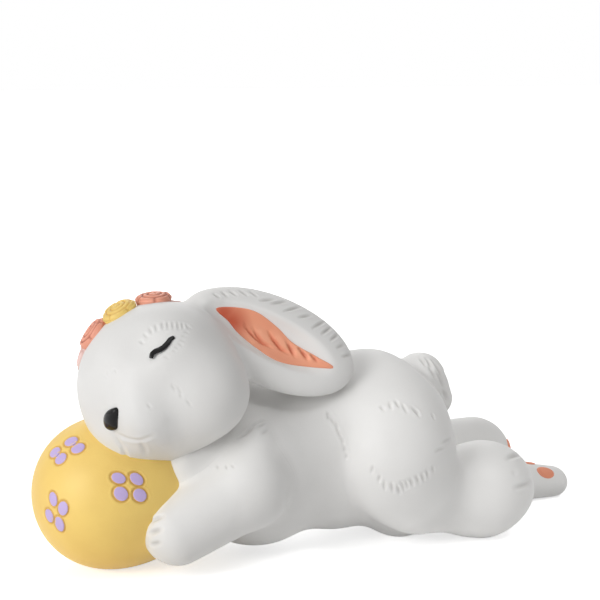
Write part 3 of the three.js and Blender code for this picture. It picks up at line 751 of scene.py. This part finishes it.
def paint(name, colour, shade, roughness, mottle=0.35, shine=0.5):
    """Paint over cast resin: slight mottling, painted shade in the cut strokes, fine grain."""
    material = bpy.data.materials.new(name)
    nodes, links = tree_of(material)
    shader = feed(nodes["Principled BSDF"], Specular_IOR_Level=shine)
    place = nodes.new("ShaderNodeTexCoord")
    broad = feed(nodes.new("ShaderNodeTexNoise"), Scale=MOTTLE_SCALE, Detail=MOTTLE_DETAIL)
    links.new(place.outputs["Object"], broad.inputs["Vector"])
    cloud = nodes.new("ShaderNodeMapRange")
    feed(cloud, From_Min=MOTTLE_RANGE[0], From_Max=MOTTLE_RANGE[1], To_Max=mottle)
    links.new(broad.outputs["Fac"], cloud.inputs["Value"])
    # The groove attribute mixes in the shade colour: painted shade in cuts, folds and creases.
    darkening = nodes.new("ShaderNodeAttribute")
    darkening.attribute_name = "groove"
    mottle_and_painted_shade = combined(nodes, links, "MAXIMUM", cloud.outputs["Result"], darkening.outputs["Fac"])
    mix = nodes.new("ShaderNodeMix")
    mix.data_type = "RGBA"
    feed(mix, A=(*linear(*colour), 1), B=(*linear(*shade), 1))
    links.new(mottle_and_painted_shade, mix.inputs["Factor"])
    links.new(mix.outputs["Result"], shader.inputs["Base Color"])
    fine = feed(nodes.new("ShaderNodeTexNoise"), Scale=GRAIN_SCALE, Detail=GRAIN_DETAIL)
    links.new(place.outputs["Object"], fine.inputs["Vector"])
    gloss = nodes.new("ShaderNodeMapRange")
    feed(gloss, To_Min=roughness - GLOSS_BELOW, To_Max=roughness + GLOSS_ABOVE)
    links.new(fine.outputs["Fac"], gloss.inputs["Value"])
    links.new(gloss.outputs["Result"], shader.inputs["Roughness"])
    bump = feed(nodes.new("ShaderNodeBump"), Strength=GRAIN_STRENGTH, Distance=GRAIN_HEIGHT)
    links.new(fine.outputs["Fac"], bump.inputs["Height"])
    links.new(bump.outputs["Normal"], shader.inputs["Normal"])
    return material


white = paint("white_paint", (233, 232, 230), (196, 193, 190), 0.55, 0.12)
yellow = paint("yellow_paint", (253, 217, 122), (208, 156, 70), 0.5, 0.2)
coral = paint("coral_paint", (254, 180, 144), (196, 86, 54), 0.5, 0.2)
rose_coral = paint("rose_coral_paint", (243, 168, 142), (158, 78, 58), 0.55, 0.25)
cream = paint("cream_paint", (246, 214, 124), (214, 168, 82), 0.55)
blush = paint("blush_paint", (244, 214, 208), (214, 170, 162), 0.55)
lavender = paint("lavender_paint", (206, 186, 235), (176, 152, 210), 0.5, 0.3)
black = paint("black_gloss", (12, 11, 12), (8, 8, 9), 0.16, 0.3, 0.22)


# Castings as pieces. Each ends a little outside its own form, in a shallow seam where it meets
# the next, and goes a little way into what carries it.

SEAM, SEAM_SLOPE, SINK = 1.2, 0.3, 0.35
FACE_SEAM, REST_BED, NECK_BED, EAR_BED, LIMB_BED = 1.5, 1, 2, 4, 4


def casting(name, field, low, high, step, material, slot, marks=()):
    points, quads = mesh_of(field, low, high, step)
    normal = normals_of(field, points)
    depth = np.zeros(len(points))
    # The marks' darkening, painted shade in their cuts, goes into the groove attribute.
    groove = np.zeros(len(points))
    for mark in marks:
        d, g = mark(points)
        depth = depth + d
        groove = np.maximum(groove, g)
    points = points + normal * depth[:, None]
    return make(name, points, quads, material, name, slot, {"groove": groove})


BOX_MARGIN = 8.0


def box_of(node):
    low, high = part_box(node)
    return np.array(low) / MM - SHIFT - BOX_MARGIN, np.array(high) / MM - SHIFT + BOX_MARGIN


def torso_piece(p):
    value = body(p)
    for form in limb_forms.values():
        value = value + np.clip((SEAM - form(p)) * SEAM_SLOPE, 0, SINK)
    value = np.maximum(value, torso_only(p) - FACE_SEAM)
    value = np.maximum(value, -(head_only(p) + NECK_BED))
    value = np.maximum(value, -(egg_form(p) + REST_BED))
    return np.maximum(value, shelf(p))


def head_piece(p):
    value = whole_head(p)
    for side in SIDES:
        value = value + np.clip((SEAM - ear_forms[side](p)) * SEAM_SLOPE, 0, SINK)
    value = np.maximum(value, head_only(p) - FACE_SEAM)
    return np.maximum(value, -(egg_form(p) + REST_BED))


def ear_piece(side):
    def field(p):
        value = np.maximum(whole_head(p), ear_forms[side](p) - SEAM)
        value = np.maximum(value, -(head_only(p) + EAR_BED))
        return np.maximum(value, -(torso_only(p) + REST_BED))

    return field


def limb_piece(name):
    def field(p):
        value = np.maximum(body(p), limb_forms[name](p) - SEAM)
        value = np.maximum(value, -(torso_only(p) + LIMB_BED))
        value = np.maximum(value, -(egg_form(p) + REST_BED))
        return np.maximum(value, shelf(p))

    return field


FINE = 0.45
EAR_FINENESS = 0.8

# Marks on the head: brow, lashes, whiskers, mouth, chin and the dents by eye, cheek and mouth

BROW = [
    155.8, 323.4, 156.8, 329.3, 162.8, 321.4, 163.2, 328.3, 167.7, 321.8, 168.3, 328.3,
    173, 321.8, 173.6, 328.9, 178, 322.4, 178.6, 328.9, 182.5, 323, 182.9, 328.5,
    186.5, 324.3, 188.5, 328.3, 149, 326, 151.5, 331, 143, 331, 146.5, 335, 138.5, 338, 142, 341,
]
LASHES = [
    189.4, 326.3, 191.4, 328.9, 185.5, 331.3, 188.5, 332.8, 182.1, 335.2, 185.5, 335.9,
    180.6, 339.2, 184, 340.4, 179.6, 343.1, 182.2, 345.2, 175.6, 346.1, 178, 348.7,
    173.6, 349.1, 175.6, 351.4, 164.7, 356, 168.7, 357.6,
]
WHISKERS = [
    105.5, 371.8, 107.4, 376.7, 113, 368.8, 116.3, 372.8, 171.7, 384.6, 176.6, 390.6,
    177.6, 386.6, 182.5, 394.5, 179.6, 394.5, 182.5, 397.5, 186.5, 399.4, 191.4, 406.4,
    147, 404.4, 150.9, 408.3,
]

MOUTH = [(112, 431), (121, 436), (130, 439.5), (138, 440.5), (146, 439), (153, 436)]
CHIN = [(141, 442), (144, 448), (146, 455)]
DENTS = [((138, 344), 7.5, 1.7), ((158, 398), 7.0, 1.3), ((170, 425), 6.0, 0.6)]
BROW_CUT, LASH_CUT, WHISKER_CUT = (0.45, 0.3, 0.3), (0.38, 0.2, 0.18), (0.42, 0.22, 0.25)
MOUTH_CUT, CHIN_CUT = (0.8, 0.4, 0.2), (0.8, 0.35, 0.25)

head_marks = []
for picture, size in ((BROW, BROW_CUT), (LASHES, LASH_CUT), (WHISKERS, WHISKER_CUT)):
    head_marks += strokes(picture, head_only, size, mirror_head)
mouth = seen(MOUTH, head_only)
for path in (mouth, mirror_head(mouth)):
    head_marks.append(cut(path, *MOUTH_CUT))
head_marks.append(cut(seen(CHIN, head_only), *CHIN_CUT))
for picture, radius, deep in DENTS:
    place = seen([picture], head_only)[0]
    for spot in (place, mirror_head(place)):
        head_marks.append(dent(spot, radius, deep))

# Marks on the body: fur strokes on shoulder, flank, haunch and tail, and creases between toes

SHOULDER = [
    238.9, 438, 252.7, 429.1, 243.8, 434, 254.7, 426.1, 249.7, 428.1, 257.6, 422.2,
    254.7, 425.1, 265.5, 419.2, 258, 428, 266, 423, 262, 434, 269, 430,
]
FLANK = [
    327.8, 411.3, 328.8, 420.2, 329.8, 414.3, 333.7, 424.2, 335.7, 426.1, 341.6, 438,
    334, 420, 338.5, 429, 342, 437, 343.6, 444, 344.4, 445.7, 345.2, 452, 346.7, 454, 346.4, 458.2,
]
HAUNCH = [
    373.1, 466, 371.8, 473.2, 380.2, 475.4, 379.1, 481.4, 384.2, 481.9, 385, 489.9,
    391.9, 482.7, 393, 491.5, 397.8, 485.7, 400.2, 493.9, 401, 481.9, 405, 489.9,
    405.8, 481.1, 408.1, 488.3, 410.5, 478.8, 412.9, 485.9, 416.1, 475.6, 419.3, 483.5,
    421.7, 473.8, 424.1, 480.4, 426.5, 471, 428.9, 477.2, 432.4, 467, 433.9, 471.2,
    380.2, 406.2, 384.2, 410.2, 389.8, 403, 391.4, 408.8, 395.4, 400.6, 400.2, 407.8,
    401.8, 403.8, 407.4, 412.6, 412.1, 407, 418.5, 415, 416.1, 410.2, 419.3, 415.8,
    432.1, 414.2, 434.5, 419, 435.3, 451.6, 444.8, 448.5, 441.6, 443.7, 450.2, 439.4,
]
TAIL = [
    432.1, 360.7, 441.6, 378.3, 440, 362.3, 449.6, 381.5, 444.8, 370.3, 451.2, 386.3,
    425.7, 358.3, 432.1, 368.7, 436, 372, 444, 388, 428, 366, 436, 379, 450, 377, 454, 390,
    420, 358, 426, 366, 442, 389, 448, 401,
]
PAW_TOES = [150, 522.5, 163, 516.5, 149.5, 533.5, 161, 530, 151, 545, 160, 543]
PAW_TICKS = [217.1, 465.7, 218.1, 468.6, 226, 465.7, 227, 468.6, 231.9, 464.7, 233.9, 467.6]
FOOT_TOES = [507, 459.5, 523, 453, 514, 473, 529, 467, 515, 488.5, 530.5, 482]

FUR_CUT, TAIL_CUT, TICK_CUT = (0.5, 0.5, 0.4), (0.6, 0.6, 0.5), (0.35, 0.25, 0.5)
PAW_CUT, FOOT_CUT = (0.7, 0.8, 0.7), (0.8, 0.8, 0.5)

torso_marks = strokes(SHOULDER + FLANK + HAUNCH, body, FUR_CUT, mirror)
tail_marks = strokes(TAIL, body, TAIL_CUT, mirror)
foreleg_marks = strokes(PAW_TOES, body, PAW_CUT, mirror)
foreleg_marks += strokes(PAW_TICKS, body, TICK_CUT, mirror)
foreleg_marks += strokes(SHOULDER, body, FUR_CUT, mirror)
foot_marks = strokes(FOOT_TOES, body, FOOT_CUT)

casting("torso", torso_piece, *box_of("torso"), FINE, white, "white_paint", torso_marks)
casting("head", head_piece, *box_of("head"), FINE, white, "white_paint", head_marks)

EAR_TICKS = [
    260.6, 300.6, 274.4, 299.6, 284.3, 311.5, 300.1, 307.5, 299.1, 317.4, 311, 315.8,
    313, 328.3, 324.8, 321.8, 330.8, 340.2, 337.7, 335.2, 342.6, 357, 350.5, 355,
    272, 304, 286, 302,
    322, 334, 331, 328, 214, 294, 219, 297, 222, 292, 227, 296, 230, 291, 236, 295,
    240, 290.5, 247, 295, 250, 291.5, 257, 296, 337, 348, 344, 345,
]
EAR_CUT = (0.5, 0.5, 0.75)


def to_other_ear(points):
    """The matching place on the right ear."""
    axes, _, middle = ear_frame(LEFT)
    far_axes, _, far_middle = ear_frame(RIGHT)
    return ((np.array(points) - middle) @ axes * vec(1, -1, 1)) @ far_axes.T + far_middle


ear_ends = seen(np.array(EAR_TICKS).reshape(-1, 2), ear_forms[LEFT]).reshape(-1, 2, 3)
for side, word in SIDES.items():
    form = ear_forms[side]
    ends = ear_ends if side == LEFT else to_other_ear(ear_ends)
    paths = [settle(form, np.stack([a, (a + b) / 2, b])) for a, b in ends]
    ticks = [cut(path, *EAR_CUT) for path in paths]
    name = f"{word}_ear"
    fine = FINE * EAR_FINENESS
    casting(name, ear_piece(side), *box_of(name), fine, white, "white_paint", ticks)

limb_marks = {"left_hind_foot": foot_marks, "tail": tail_marks}
for name in limb_forms:
    marks = foreleg_marks if "foreleg" in name else limb_marks.get(name, [])
    casting(name, limb_piece(name), *box_of(name), FINE, white, "white_paint", marks)

# Egg with pressed petals

# Four petals of each flower: centre, half length, half width and angle in the picture
FLOWERS = [
    [
        (71.1, 441.4, 7.0, 3.8, -25), (77.9, 448.2, 7.2, 4.4, -25),
        (55, 452.3, 6.2, 3.6, -45), (60.7, 458.6, 6.6, 4.2, -45),
    ],
    [
        (118.6, 478.1, 7.3, 5.2, 20), (136.6, 479, 7.5, 5.2, 40),
        (120.9, 493.8, 7.6, 6.6, 45), (139.9, 495.2, 7, 6.2, 45),
    ],
    [
        (53.2, 499.1, 7.2, 3.6, 80), (63, 508.4, 7, 4.8, 90),
        (49.3, 515.7, 7, 3.3, 70), (59.5, 524.1, 7.6, 4, 70),
    ],
]
PETAL_RIM, PETAL_CUT = 1.17, (0.34, 0.4, 0.9)
PETAL_SIZE = (0.05, 0.12)

flowers = [[seen(ring_of(petal), egg_form) for petal in flower] for flower in FLOWERS]
flowers.append([mirror(petal) for petal in flowers[1]])
flowers.append([mirror(petal) for petal in flowers[2]])
# A cut rim round each petal, with painted shade in it.
petal_cuts = []
for flower in flowers:
    for petal in flower:
        rim = petal.mean(0) + (petal - petal.mean(0)) * PETAL_RIM
        petal_cuts.append(cut(rim, *PETAL_CUT, closed=True))
casting("egg", within(egg_form, shelf), *box_of("egg"), FINE, yellow, "yellow_paint", petal_cuts)
for i, flower in enumerate(flowers):
    petals = joined([inlay(petal, egg_form, *PETAL_SIZE) for petal in flower])
    make(f"egg_flower_{i + 1}", *petals, lavender, slot="lavender_paint")

# Face: closed eyes and nose

EYE = [
    (151, 358.2), (152, 354), (155, 351.3), (160, 349.5), (164, 347), (168, 342.6), (170.2, 339.2),
    (173.9, 337),
]
EYE_POINTS, EYE_HALF_WIDTH, EYE_HALF_HEIGHT = 28, 0.85, 0.4
eye = seen(EYE, head_only)
for side, path in ((LEFT, eye), (RIGHT, mirror_head(eye))):
    t = np.linspace(0, 1, len(path))
    fine_t = np.linspace(0, 1, EYE_POINTS)
    path = np.stack([np.interp(fine_t, t, path[:, k]) for k in range(3)], 1)
    line = ribbon(path, head_only, EYE_HALF_WIDTH, EYE_HALF_HEIGHT)
    make(f"{SIDES[side]}_eyelid_line", *line, black, slot="black_gloss")

NOSE = [
    (117.3, 407.7), (118.4, 412), (117.9, 420), (117.3, 428.5), (111.8, 430.2), (106, 426.5),
    (104.5, 418.2), (107.4, 411.3), (113, 408),
]
NOSE_SIZE = (0.15, 1.5, 1.2)
button = inlay(even(seen(NOSE, head_only)), head_only, *NOSE_SIZE)
make("nose", *button, black, "nose", "black_gloss")

# Coral linings of the ears

LINING = [
    (216, 308.5), (238, 307.5), (257.6, 312.5), (277.4, 327.3), (293, 343), (317, 357),
    (333.5, 368), (307, 366.8), (277.4, 361), (257.6, 349), (238, 333), (228, 321),
]
FOLDS = [
    [(244.5, 324), (247, 331), (253, 338.5), (262, 345.5)],
    [(252.4, 328.8), (255.1, 335.3), (261.6, 344), (270.3, 349.4)],
    [(268.1, 332.1), (272.4, 340.7), (280, 350.5), (287.6, 354.8)],
    [(287.1, 342.9), (289.8, 349.4), (294.1, 358.1)],
    [(299.5, 349.4), (303.9, 355.9), (307.1, 360.3)],
    [(312, 356), (315, 360), (318, 363)],
]
LOBES = [
    [(243, 328), (247, 337), (256, 345)], [(256, 329), (262, 338.5), (272, 347.5)],
    [(273, 335), (281, 344.5), (291, 352.5)], [(292, 346), (298, 352.5), (304, 358.5)],
    [(305, 353), (310, 358), (314, 362)],
]
# Painted light on the linings: painted shade all over but on the raised lobes, which so read as a
# painted highlight, and deeper painted shade in the hollow's corner and in the folds.
SHADED, SHADED_RADIUS = [(223, 314), (231, 322)], 6.5
LINING_POINTS, LINING_SIZE = 110, (0.12, 0.9, 0.5, 36)
LOBE_CUT, FOLD_CUT = (1.7, -0.5, 1.0), (0.6, 0.7, 0.85)
LINING_PAINTED_SHADE, FOLD_LIMIT, FOLD_START = 0.32, -0.8, -0.05

lining = even(seen(LINING, ear_forms[LEFT]), LINING_POINTS)
folds = [seen(fold, ear_forms[LEFT]) for fold in FOLDS]
lobes = [seen(lobe, ear_forms[LEFT]) for lobe in LOBES]
shaded = seen(SHADED, ear_forms[LEFT])
for side, word in SIDES.items():
    place = (lambda points: points) if side == LEFT else to_other_ear
    form = ear_forms[side]
    points, faces = inlay(place(lining), form, *LINING_SIZE)
    depth, light = np.zeros((2, len(points)))
    # Raised lobes, kept free of the painted shade as a painted highlight.
    for lobe in lobes:
        swell, bright = cut(settle(form, place(lobe)), *LOBE_CUT)(points)
        depth, light = np.maximum(depth, swell), np.maximum(light, bright)
    groove = LINING_PAINTED_SHADE * (1 - light)
    # Painted shade in the deep corner of the hollow.
    for centre in place(shaded):
        away = ((points - centre) ** 2).sum(1) / SHADED_RADIUS**2
        groove = np.maximum(groove, np.exp(-away))
    # Fold grooves with painted shade in them.
    for fold in folds:
        path = settle(form, place(fold))
        d, g = cut(path + normals_of(form, path), *FOLD_CUT)(points)
        depth = np.where(d < FOLD_START, np.minimum(depth, 0) + d, depth)
        groove = np.maximum(groove, g)
    depth = np.maximum(depth, FOLD_LIMIT)
    top = len(points) // 2
    points[:top] += normals_of(form, points[:top]) * depth[:top, None]
    name = f"{word}_ear_lining"
    make(name, points, faces, coral, slot="coral_paint", attributes={"groove": groove})

# Pads on the sole of the stretched foot

PADS = [((545.5, 472), 3.6, 2.9), ((527, 461), 3.2, 2.8), ((510, 446), 3.2, 2.8)]
PAD_SIZE, PAD_RING, PAD_CUT, PAD_DARKENING = (0.06, 0.45, 0.5, 14), 0.72, (0.3, 0.25, 0.45), 0.45
sole = limb_forms["right_hind_foot"]


def oval_on(field, centre, along, half_length, half_width, count=28):
    """Points round an oval that lies on a surface."""
    normal = normals_of(field, centre[None])[0]
    one = unit(along - normal * (along @ normal))
    two = np.cross(normal, one)
    t = np.linspace(0, 2 * np.pi, count, endpoint=False)[:, None]
    return settle(field, centre + one * half_length * np.cos(t) + two * half_width * np.sin(t))


pads, pad_darkening = [], []
for picture, half_length, half_width in PADS:
    centre = seen([picture], sole)[0]
    rim = oval_on(sole, centre, vec(1, 0, 0), half_length, half_width)
    points, faces = inlay(rim, sole, *PAD_SIZE)
    ring = centre + (rim - centre) * PAD_RING
    d, g = cut(ring, *PAD_CUT, closed=True)(points)
    top = len(points) // 2
    points[:top] += normals_of(sole, points[:top]) * d[:top, None]
    pads.append((points, faces))
    # Each pad is darkened all over towards the deeper coral, with painted shade added in its ring
    # cut.
    pad_darkening.append(PAD_DARKENING + g)
darkening = {"groove": np.concatenate(pad_darkening)}
make("right_hind_foot_pads", *joined(pads), coral, slot="coral_paint", attributes=darkening)

# Garland of roses: each a rolled ribbon with a spiral groove, parted into petals at its rim

ROSE_DIAMETER, ROSE_HEIGHT, ROSE_SPACING, ROSE_ROLL = 10.8, 3.0, 0.2, 1.75
ROSE_LEAN, ROSE_TURN = 0.24 * vec(-0.37, -0.93, 0), 0.9
BUD_DIAMETER, BUD_HEIGHT, BUD_TURN = 7.0, 2.4, 0.4
ROSE_SIDES, ROSE_RINGS, RING_SHARE = 72, 26, 0.85
SCALLOPS, SCALLOP, WAVES, WAVE = 2.5, 0.05, 3, 0.03
ROLL_WIDTH, ROLL_START, ROLL_FADE, ROLL_END = 0.32, 0.3, 0.8, 0.6
PARTING_WIDTH, PARTING_PAINTED_SHADE, PARTING_START, PARTING_FADE = 0.35, 0.8, 0.66, 0.1
ROSE_TOP, ROSE_DOME, ROSE_DROP, ROSE_SHOULDER, ROSE_GROOVE = 0.98, 0.3, 0.35, 0.86, 0.55
ROSE_WALL = [(0.86, -0.9), (0.92, -0.4), (1.0, 0.12), (1.03, 0.4)]
WALL_PAINTED_SHADE, WALL_PAINTED_SHADE_BELOW = 0.25, 0.3
CROWN_ANGLES = (39.8, 25.4, 9.3, 41.9)
CROWN_SPREAD, CROWN_BACK, CROWN_LEAN, CROWN_TURN = [math.radians(a) for a in CROWN_ANGLES]
crown_axis = from_head(
    -math.sin(CROWN_BACK), -math.sin(CROWN_LEAN), math.cos(CROWN_BACK) * math.cos(CROWN_LEAN))
crown_start = from_head(0, 1, 0)
crown_start = unit(crown_start - crown_axis * (crown_start @ crown_axis))
crown_side = np.cross(crown_axis, crown_start)
crown_radius = min(HEAD_LENGTH, HEAD_WIDTH, HEAD_DEPTH) / 2 * math.sin(CROWN_SPREAD)
crown_step = 2 * math.asin((ROSE_DIAMETER + ROSE_SPACING) / (2 * crown_radius))


def rose(step, diameter, height, turn):
    """A flat rolled rose with a scalloped rim and upright sides sunk in the head."""
    angle = step * crown_step - CROWN_TURN
    out = crown_axis * math.cos(CROWN_SPREAD)
    around = crown_start * math.cos(angle) + crown_side * math.sin(angle)
    out = out + around * math.sin(CROWN_SPREAD)
    seat = reach(head_only, head, out)
    out = unit(out + ROSE_LEAN)
    one = unit(np.cross(out, crown_axis))
    two = np.cross(out, one)
    radius, sides, rings = diameter / 2, ROSE_SIDES, ROSE_RINGS
    theta = np.linspace(0, 2 * np.pi, sides, endpoint=False)
    scallop = 1 + SCALLOP * np.abs(np.sin(SCALLOPS * theta + turn))
    scallop = scallop - WAVE * np.cos(WAVES * theta + turn)
    share = (1 - np.arange(rings) / rings) ** RING_SHARE
    spread, bearing = [a.ravel() for a in np.meshgrid(share, theta, indexing="ij")]
    r = spread * radius * np.tile(scallop, rings)
    winding = r / ROSE_ROLL - bearing / (2 * np.pi) - turn / (2 * np.pi)
    off = (winding - np.round(winding)) * ROSE_ROLL
    starting = np.clip((r - ROLL_START) / ROLL_FADE, 0, 1)
    # The spiral groove and the partings between petals are cut in and darkened with painted shade.
    groove = np.exp(-((off / ROLL_WIDTH) ** 2)) * starting * np.clip((radius - r) / ROLL_END, 0, 1)
    parting = np.abs(np.sin(SCALLOPS * bearing + turn)) / SCALLOPS * r
    parted = np.clip((spread - PARTING_START) / PARTING_FADE, 0, 1)
    groove = np.maximum(groove, PARTING_PAINTED_SHADE * np.exp(-((parting / PARTING_WIDTH) ** 2)) * parted)
    rim = np.clip((spread - ROSE_SHOULDER) / (1 - ROSE_SHOULDER), 0, 1)
    rise = height * (ROSE_TOP - ROSE_DOME * spread**2 - ROSE_DROP * rim**2) - ROSE_GROOVE * groove
    # The low rings of the sides, where the rose sinks into the head, take painted shade.
    for share_out, level in reversed(ROSE_WALL):
        darkening = WALL_PAINTED_SHADE if level < WALL_PAINTED_SHADE_BELOW else 0.0
        r = np.concatenate([radius * share_out * scallop, r])
        rise = np.concatenate([np.full(sides, height * level), rise])
        groove = np.concatenate([np.full(sides, darkening), groove])
    rows = rings + len(ROSE_WALL)
    bearing = np.tile(theta, rows)
    flat = np.outer(np.cos(bearing) * r, one) + np.outer(np.sin(bearing) * r, two)
    points = seat + flat + np.outer(rise, out)
    peak, pit = seat + out * height, seat + out * height * ROSE_WALL[0][1]
    points = np.concatenate([points, peak[None], pit[None]])
    top, bottom = len(points) - 2, len(points) - 1
    faces = []
    for j in range(sides):
        k = (j + 1) % sides
        for i in range(rows - 1):
            low, high = i * sides, (i + 1) * sides
            faces.append((low + j, low + k, high + k, high + j))
        faces.append(((rows - 1) * sides + j, (rows - 1) * sides + k, top))
        faces.append((k, j, bottom))
    if np.cross(one, two) @ out < 0:
        faces = [face[::-1] for face in faces]
    return points, faces, np.append(groove, [0, 0])


ROSE_PAINTS = [
    (rose_coral, "coral_paint"), (cream, "cream_paint"), (rose_coral, "coral_paint"),
    (blush, "blush_paint"), (cream, "cream_paint"), (rose_coral, "coral_paint"),
]
for i, (material, slot) in enumerate(ROSE_PAINTS):
    points, faces, groove = rose(1 - i, ROSE_DIAMETER, ROSE_HEIGHT, ROSE_TURN * i)
    make(f"rose_{i + 1}", points, faces, material, f"rose_{i + 1}", slot, {"groove": groove})
points, faces, groove = rose(2, BUD_DIAMETER, BUD_HEIGHT, BUD_TURN)
make("rosebud", points, faces, blush, "rosebud", "blush_paint", {"groove": groove})


# Stage, light and camera

def camera():
    data = bpy.data.cameras.new("camera")
    data.lens = CAMERA_LENS
    data.sensor_width = SENSOR
    bpy.context.scene.camera = put("camera", data)
    aim(bpy.context.scene.camera, CAMERA_PLACE * MM, look)


# Name, place and target in metres, size, power and, for a spotlight, the angle of its cone
LAMPS = [
    ("key", (-1.876, -0.8, 0.824), (0, 0, 0.035), 1.2, 27.5, None),
    ("fill", (-0.1, -0.3, 1.2), (0, 0, 0.04), 0.8, 1.9, None),
    ("rear", (0.3, -0.62, 0.92), (0.085, -0.01, 0.015), 0.12, 19.0, 14),
    ("back", (0.3, 1.0, 0.7), (0, 0, 0.035), 0.8, 4.0, None),
]


def lamp(name, place, target, size, power, cone):
    data = bpy.data.lights.new(name, "SPOT" if cone else "AREA")
    data.energy = power
    if cone:
        data.spot_size = math.radians(cone)
        data.spot_blend = 1.0
        data.shadow_soft_size = size
    else:
        data.size = size
    aim(put(name, data), place, Vector(target) - Vector(place))


def background_rays(nodes, links):
    """One for rays that show the background: from the camera, reflected or through glass."""
    kinds = nodes.new("ShaderNodeLightPath").outputs
    shown = kinds["Is Camera Ray"]
    for kind in ("Is Glossy Ray", "Is Transmission Ray"):
        shown = combined(nodes, links, "MAXIMUM", shown, kinds[kind])
    return shown


# The floor glows, more so from one distance in metres to another, and ends in the white background
FLOOR_HALF, FLOOR_COLOUR, FLOOR_ROUGHNESS = 6, (0.9, 0.9, 0.9, 1), 0.8
FLOOR_REACH, FLOOR_GLOW = (0.15, 0.7), (0.62, 0.95)
WHITE = (1, 1, 1, 1)


def floor():
    mesh = bpy.data.meshes.new("floor")
    corners = [(x * FLOOR_HALF, y * FLOOR_HALF, 0) for x, y in ((-1, -1), (1, -1), (1, 1), (-1, 1))]
    mesh.from_pydata(corners, [], [(0, 1, 2, 3)])
    material = bpy.data.materials.new("floor")
    nodes, links = tree_of(material)
    shader = nodes["Principled BSDF"]
    feed(shader, Base_Color=FLOOR_COLOUR, Roughness=FLOOR_ROUGHNESS, Emission_Color=WHITE)
    place = nodes.new("ShaderNodeTexCoord")
    away = nodes.new("ShaderNodeVectorMath")
    away.operation = "LENGTH"
    links.new(place.outputs["Object"], away.inputs[0])
    rise = nodes.new("ShaderNodeMapRange")
    feed(rise, From_Min=FLOOR_REACH[0], From_Max=FLOOR_REACH[1])
    feed(rise, To_Min=FLOOR_GLOW[0], To_Max=FLOOR_GLOW[1])
    links.new(away.outputs["Value"], rise.inputs["Value"])
    shown = background_rays(nodes, links)
    glow = combined(nodes, links, "MULTIPLY", shown, rise.outputs["Result"])
    links.new(glow, shader.inputs["Emission Strength"])
    mesh.materials.append(material)
    plane = put("floor", mesh)


SKY_LIGHT, SKY_SHOWN = 0.22, 1.0


def world():
    sky = bpy.data.worlds.new("studio")
    bpy.context.scene.world = sky
    nodes, links = tree_of(sky)
    back = feed(nodes["Background"], Color=WHITE)
    strength = feed(nodes.new("ShaderNodeMapRange"), To_Min=SKY_LIGHT, To_Max=SKY_SHOWN)
    links.new(background_rays(nodes, links), strength.inputs["Value"])
    links.new(strength.outputs["Result"], back.inputs["Strength"])


camera()
for values in LAMPS:
    lamp(*values)
floor()
world()
bpy.context.scene.view_settings.view_transform = "Standard"
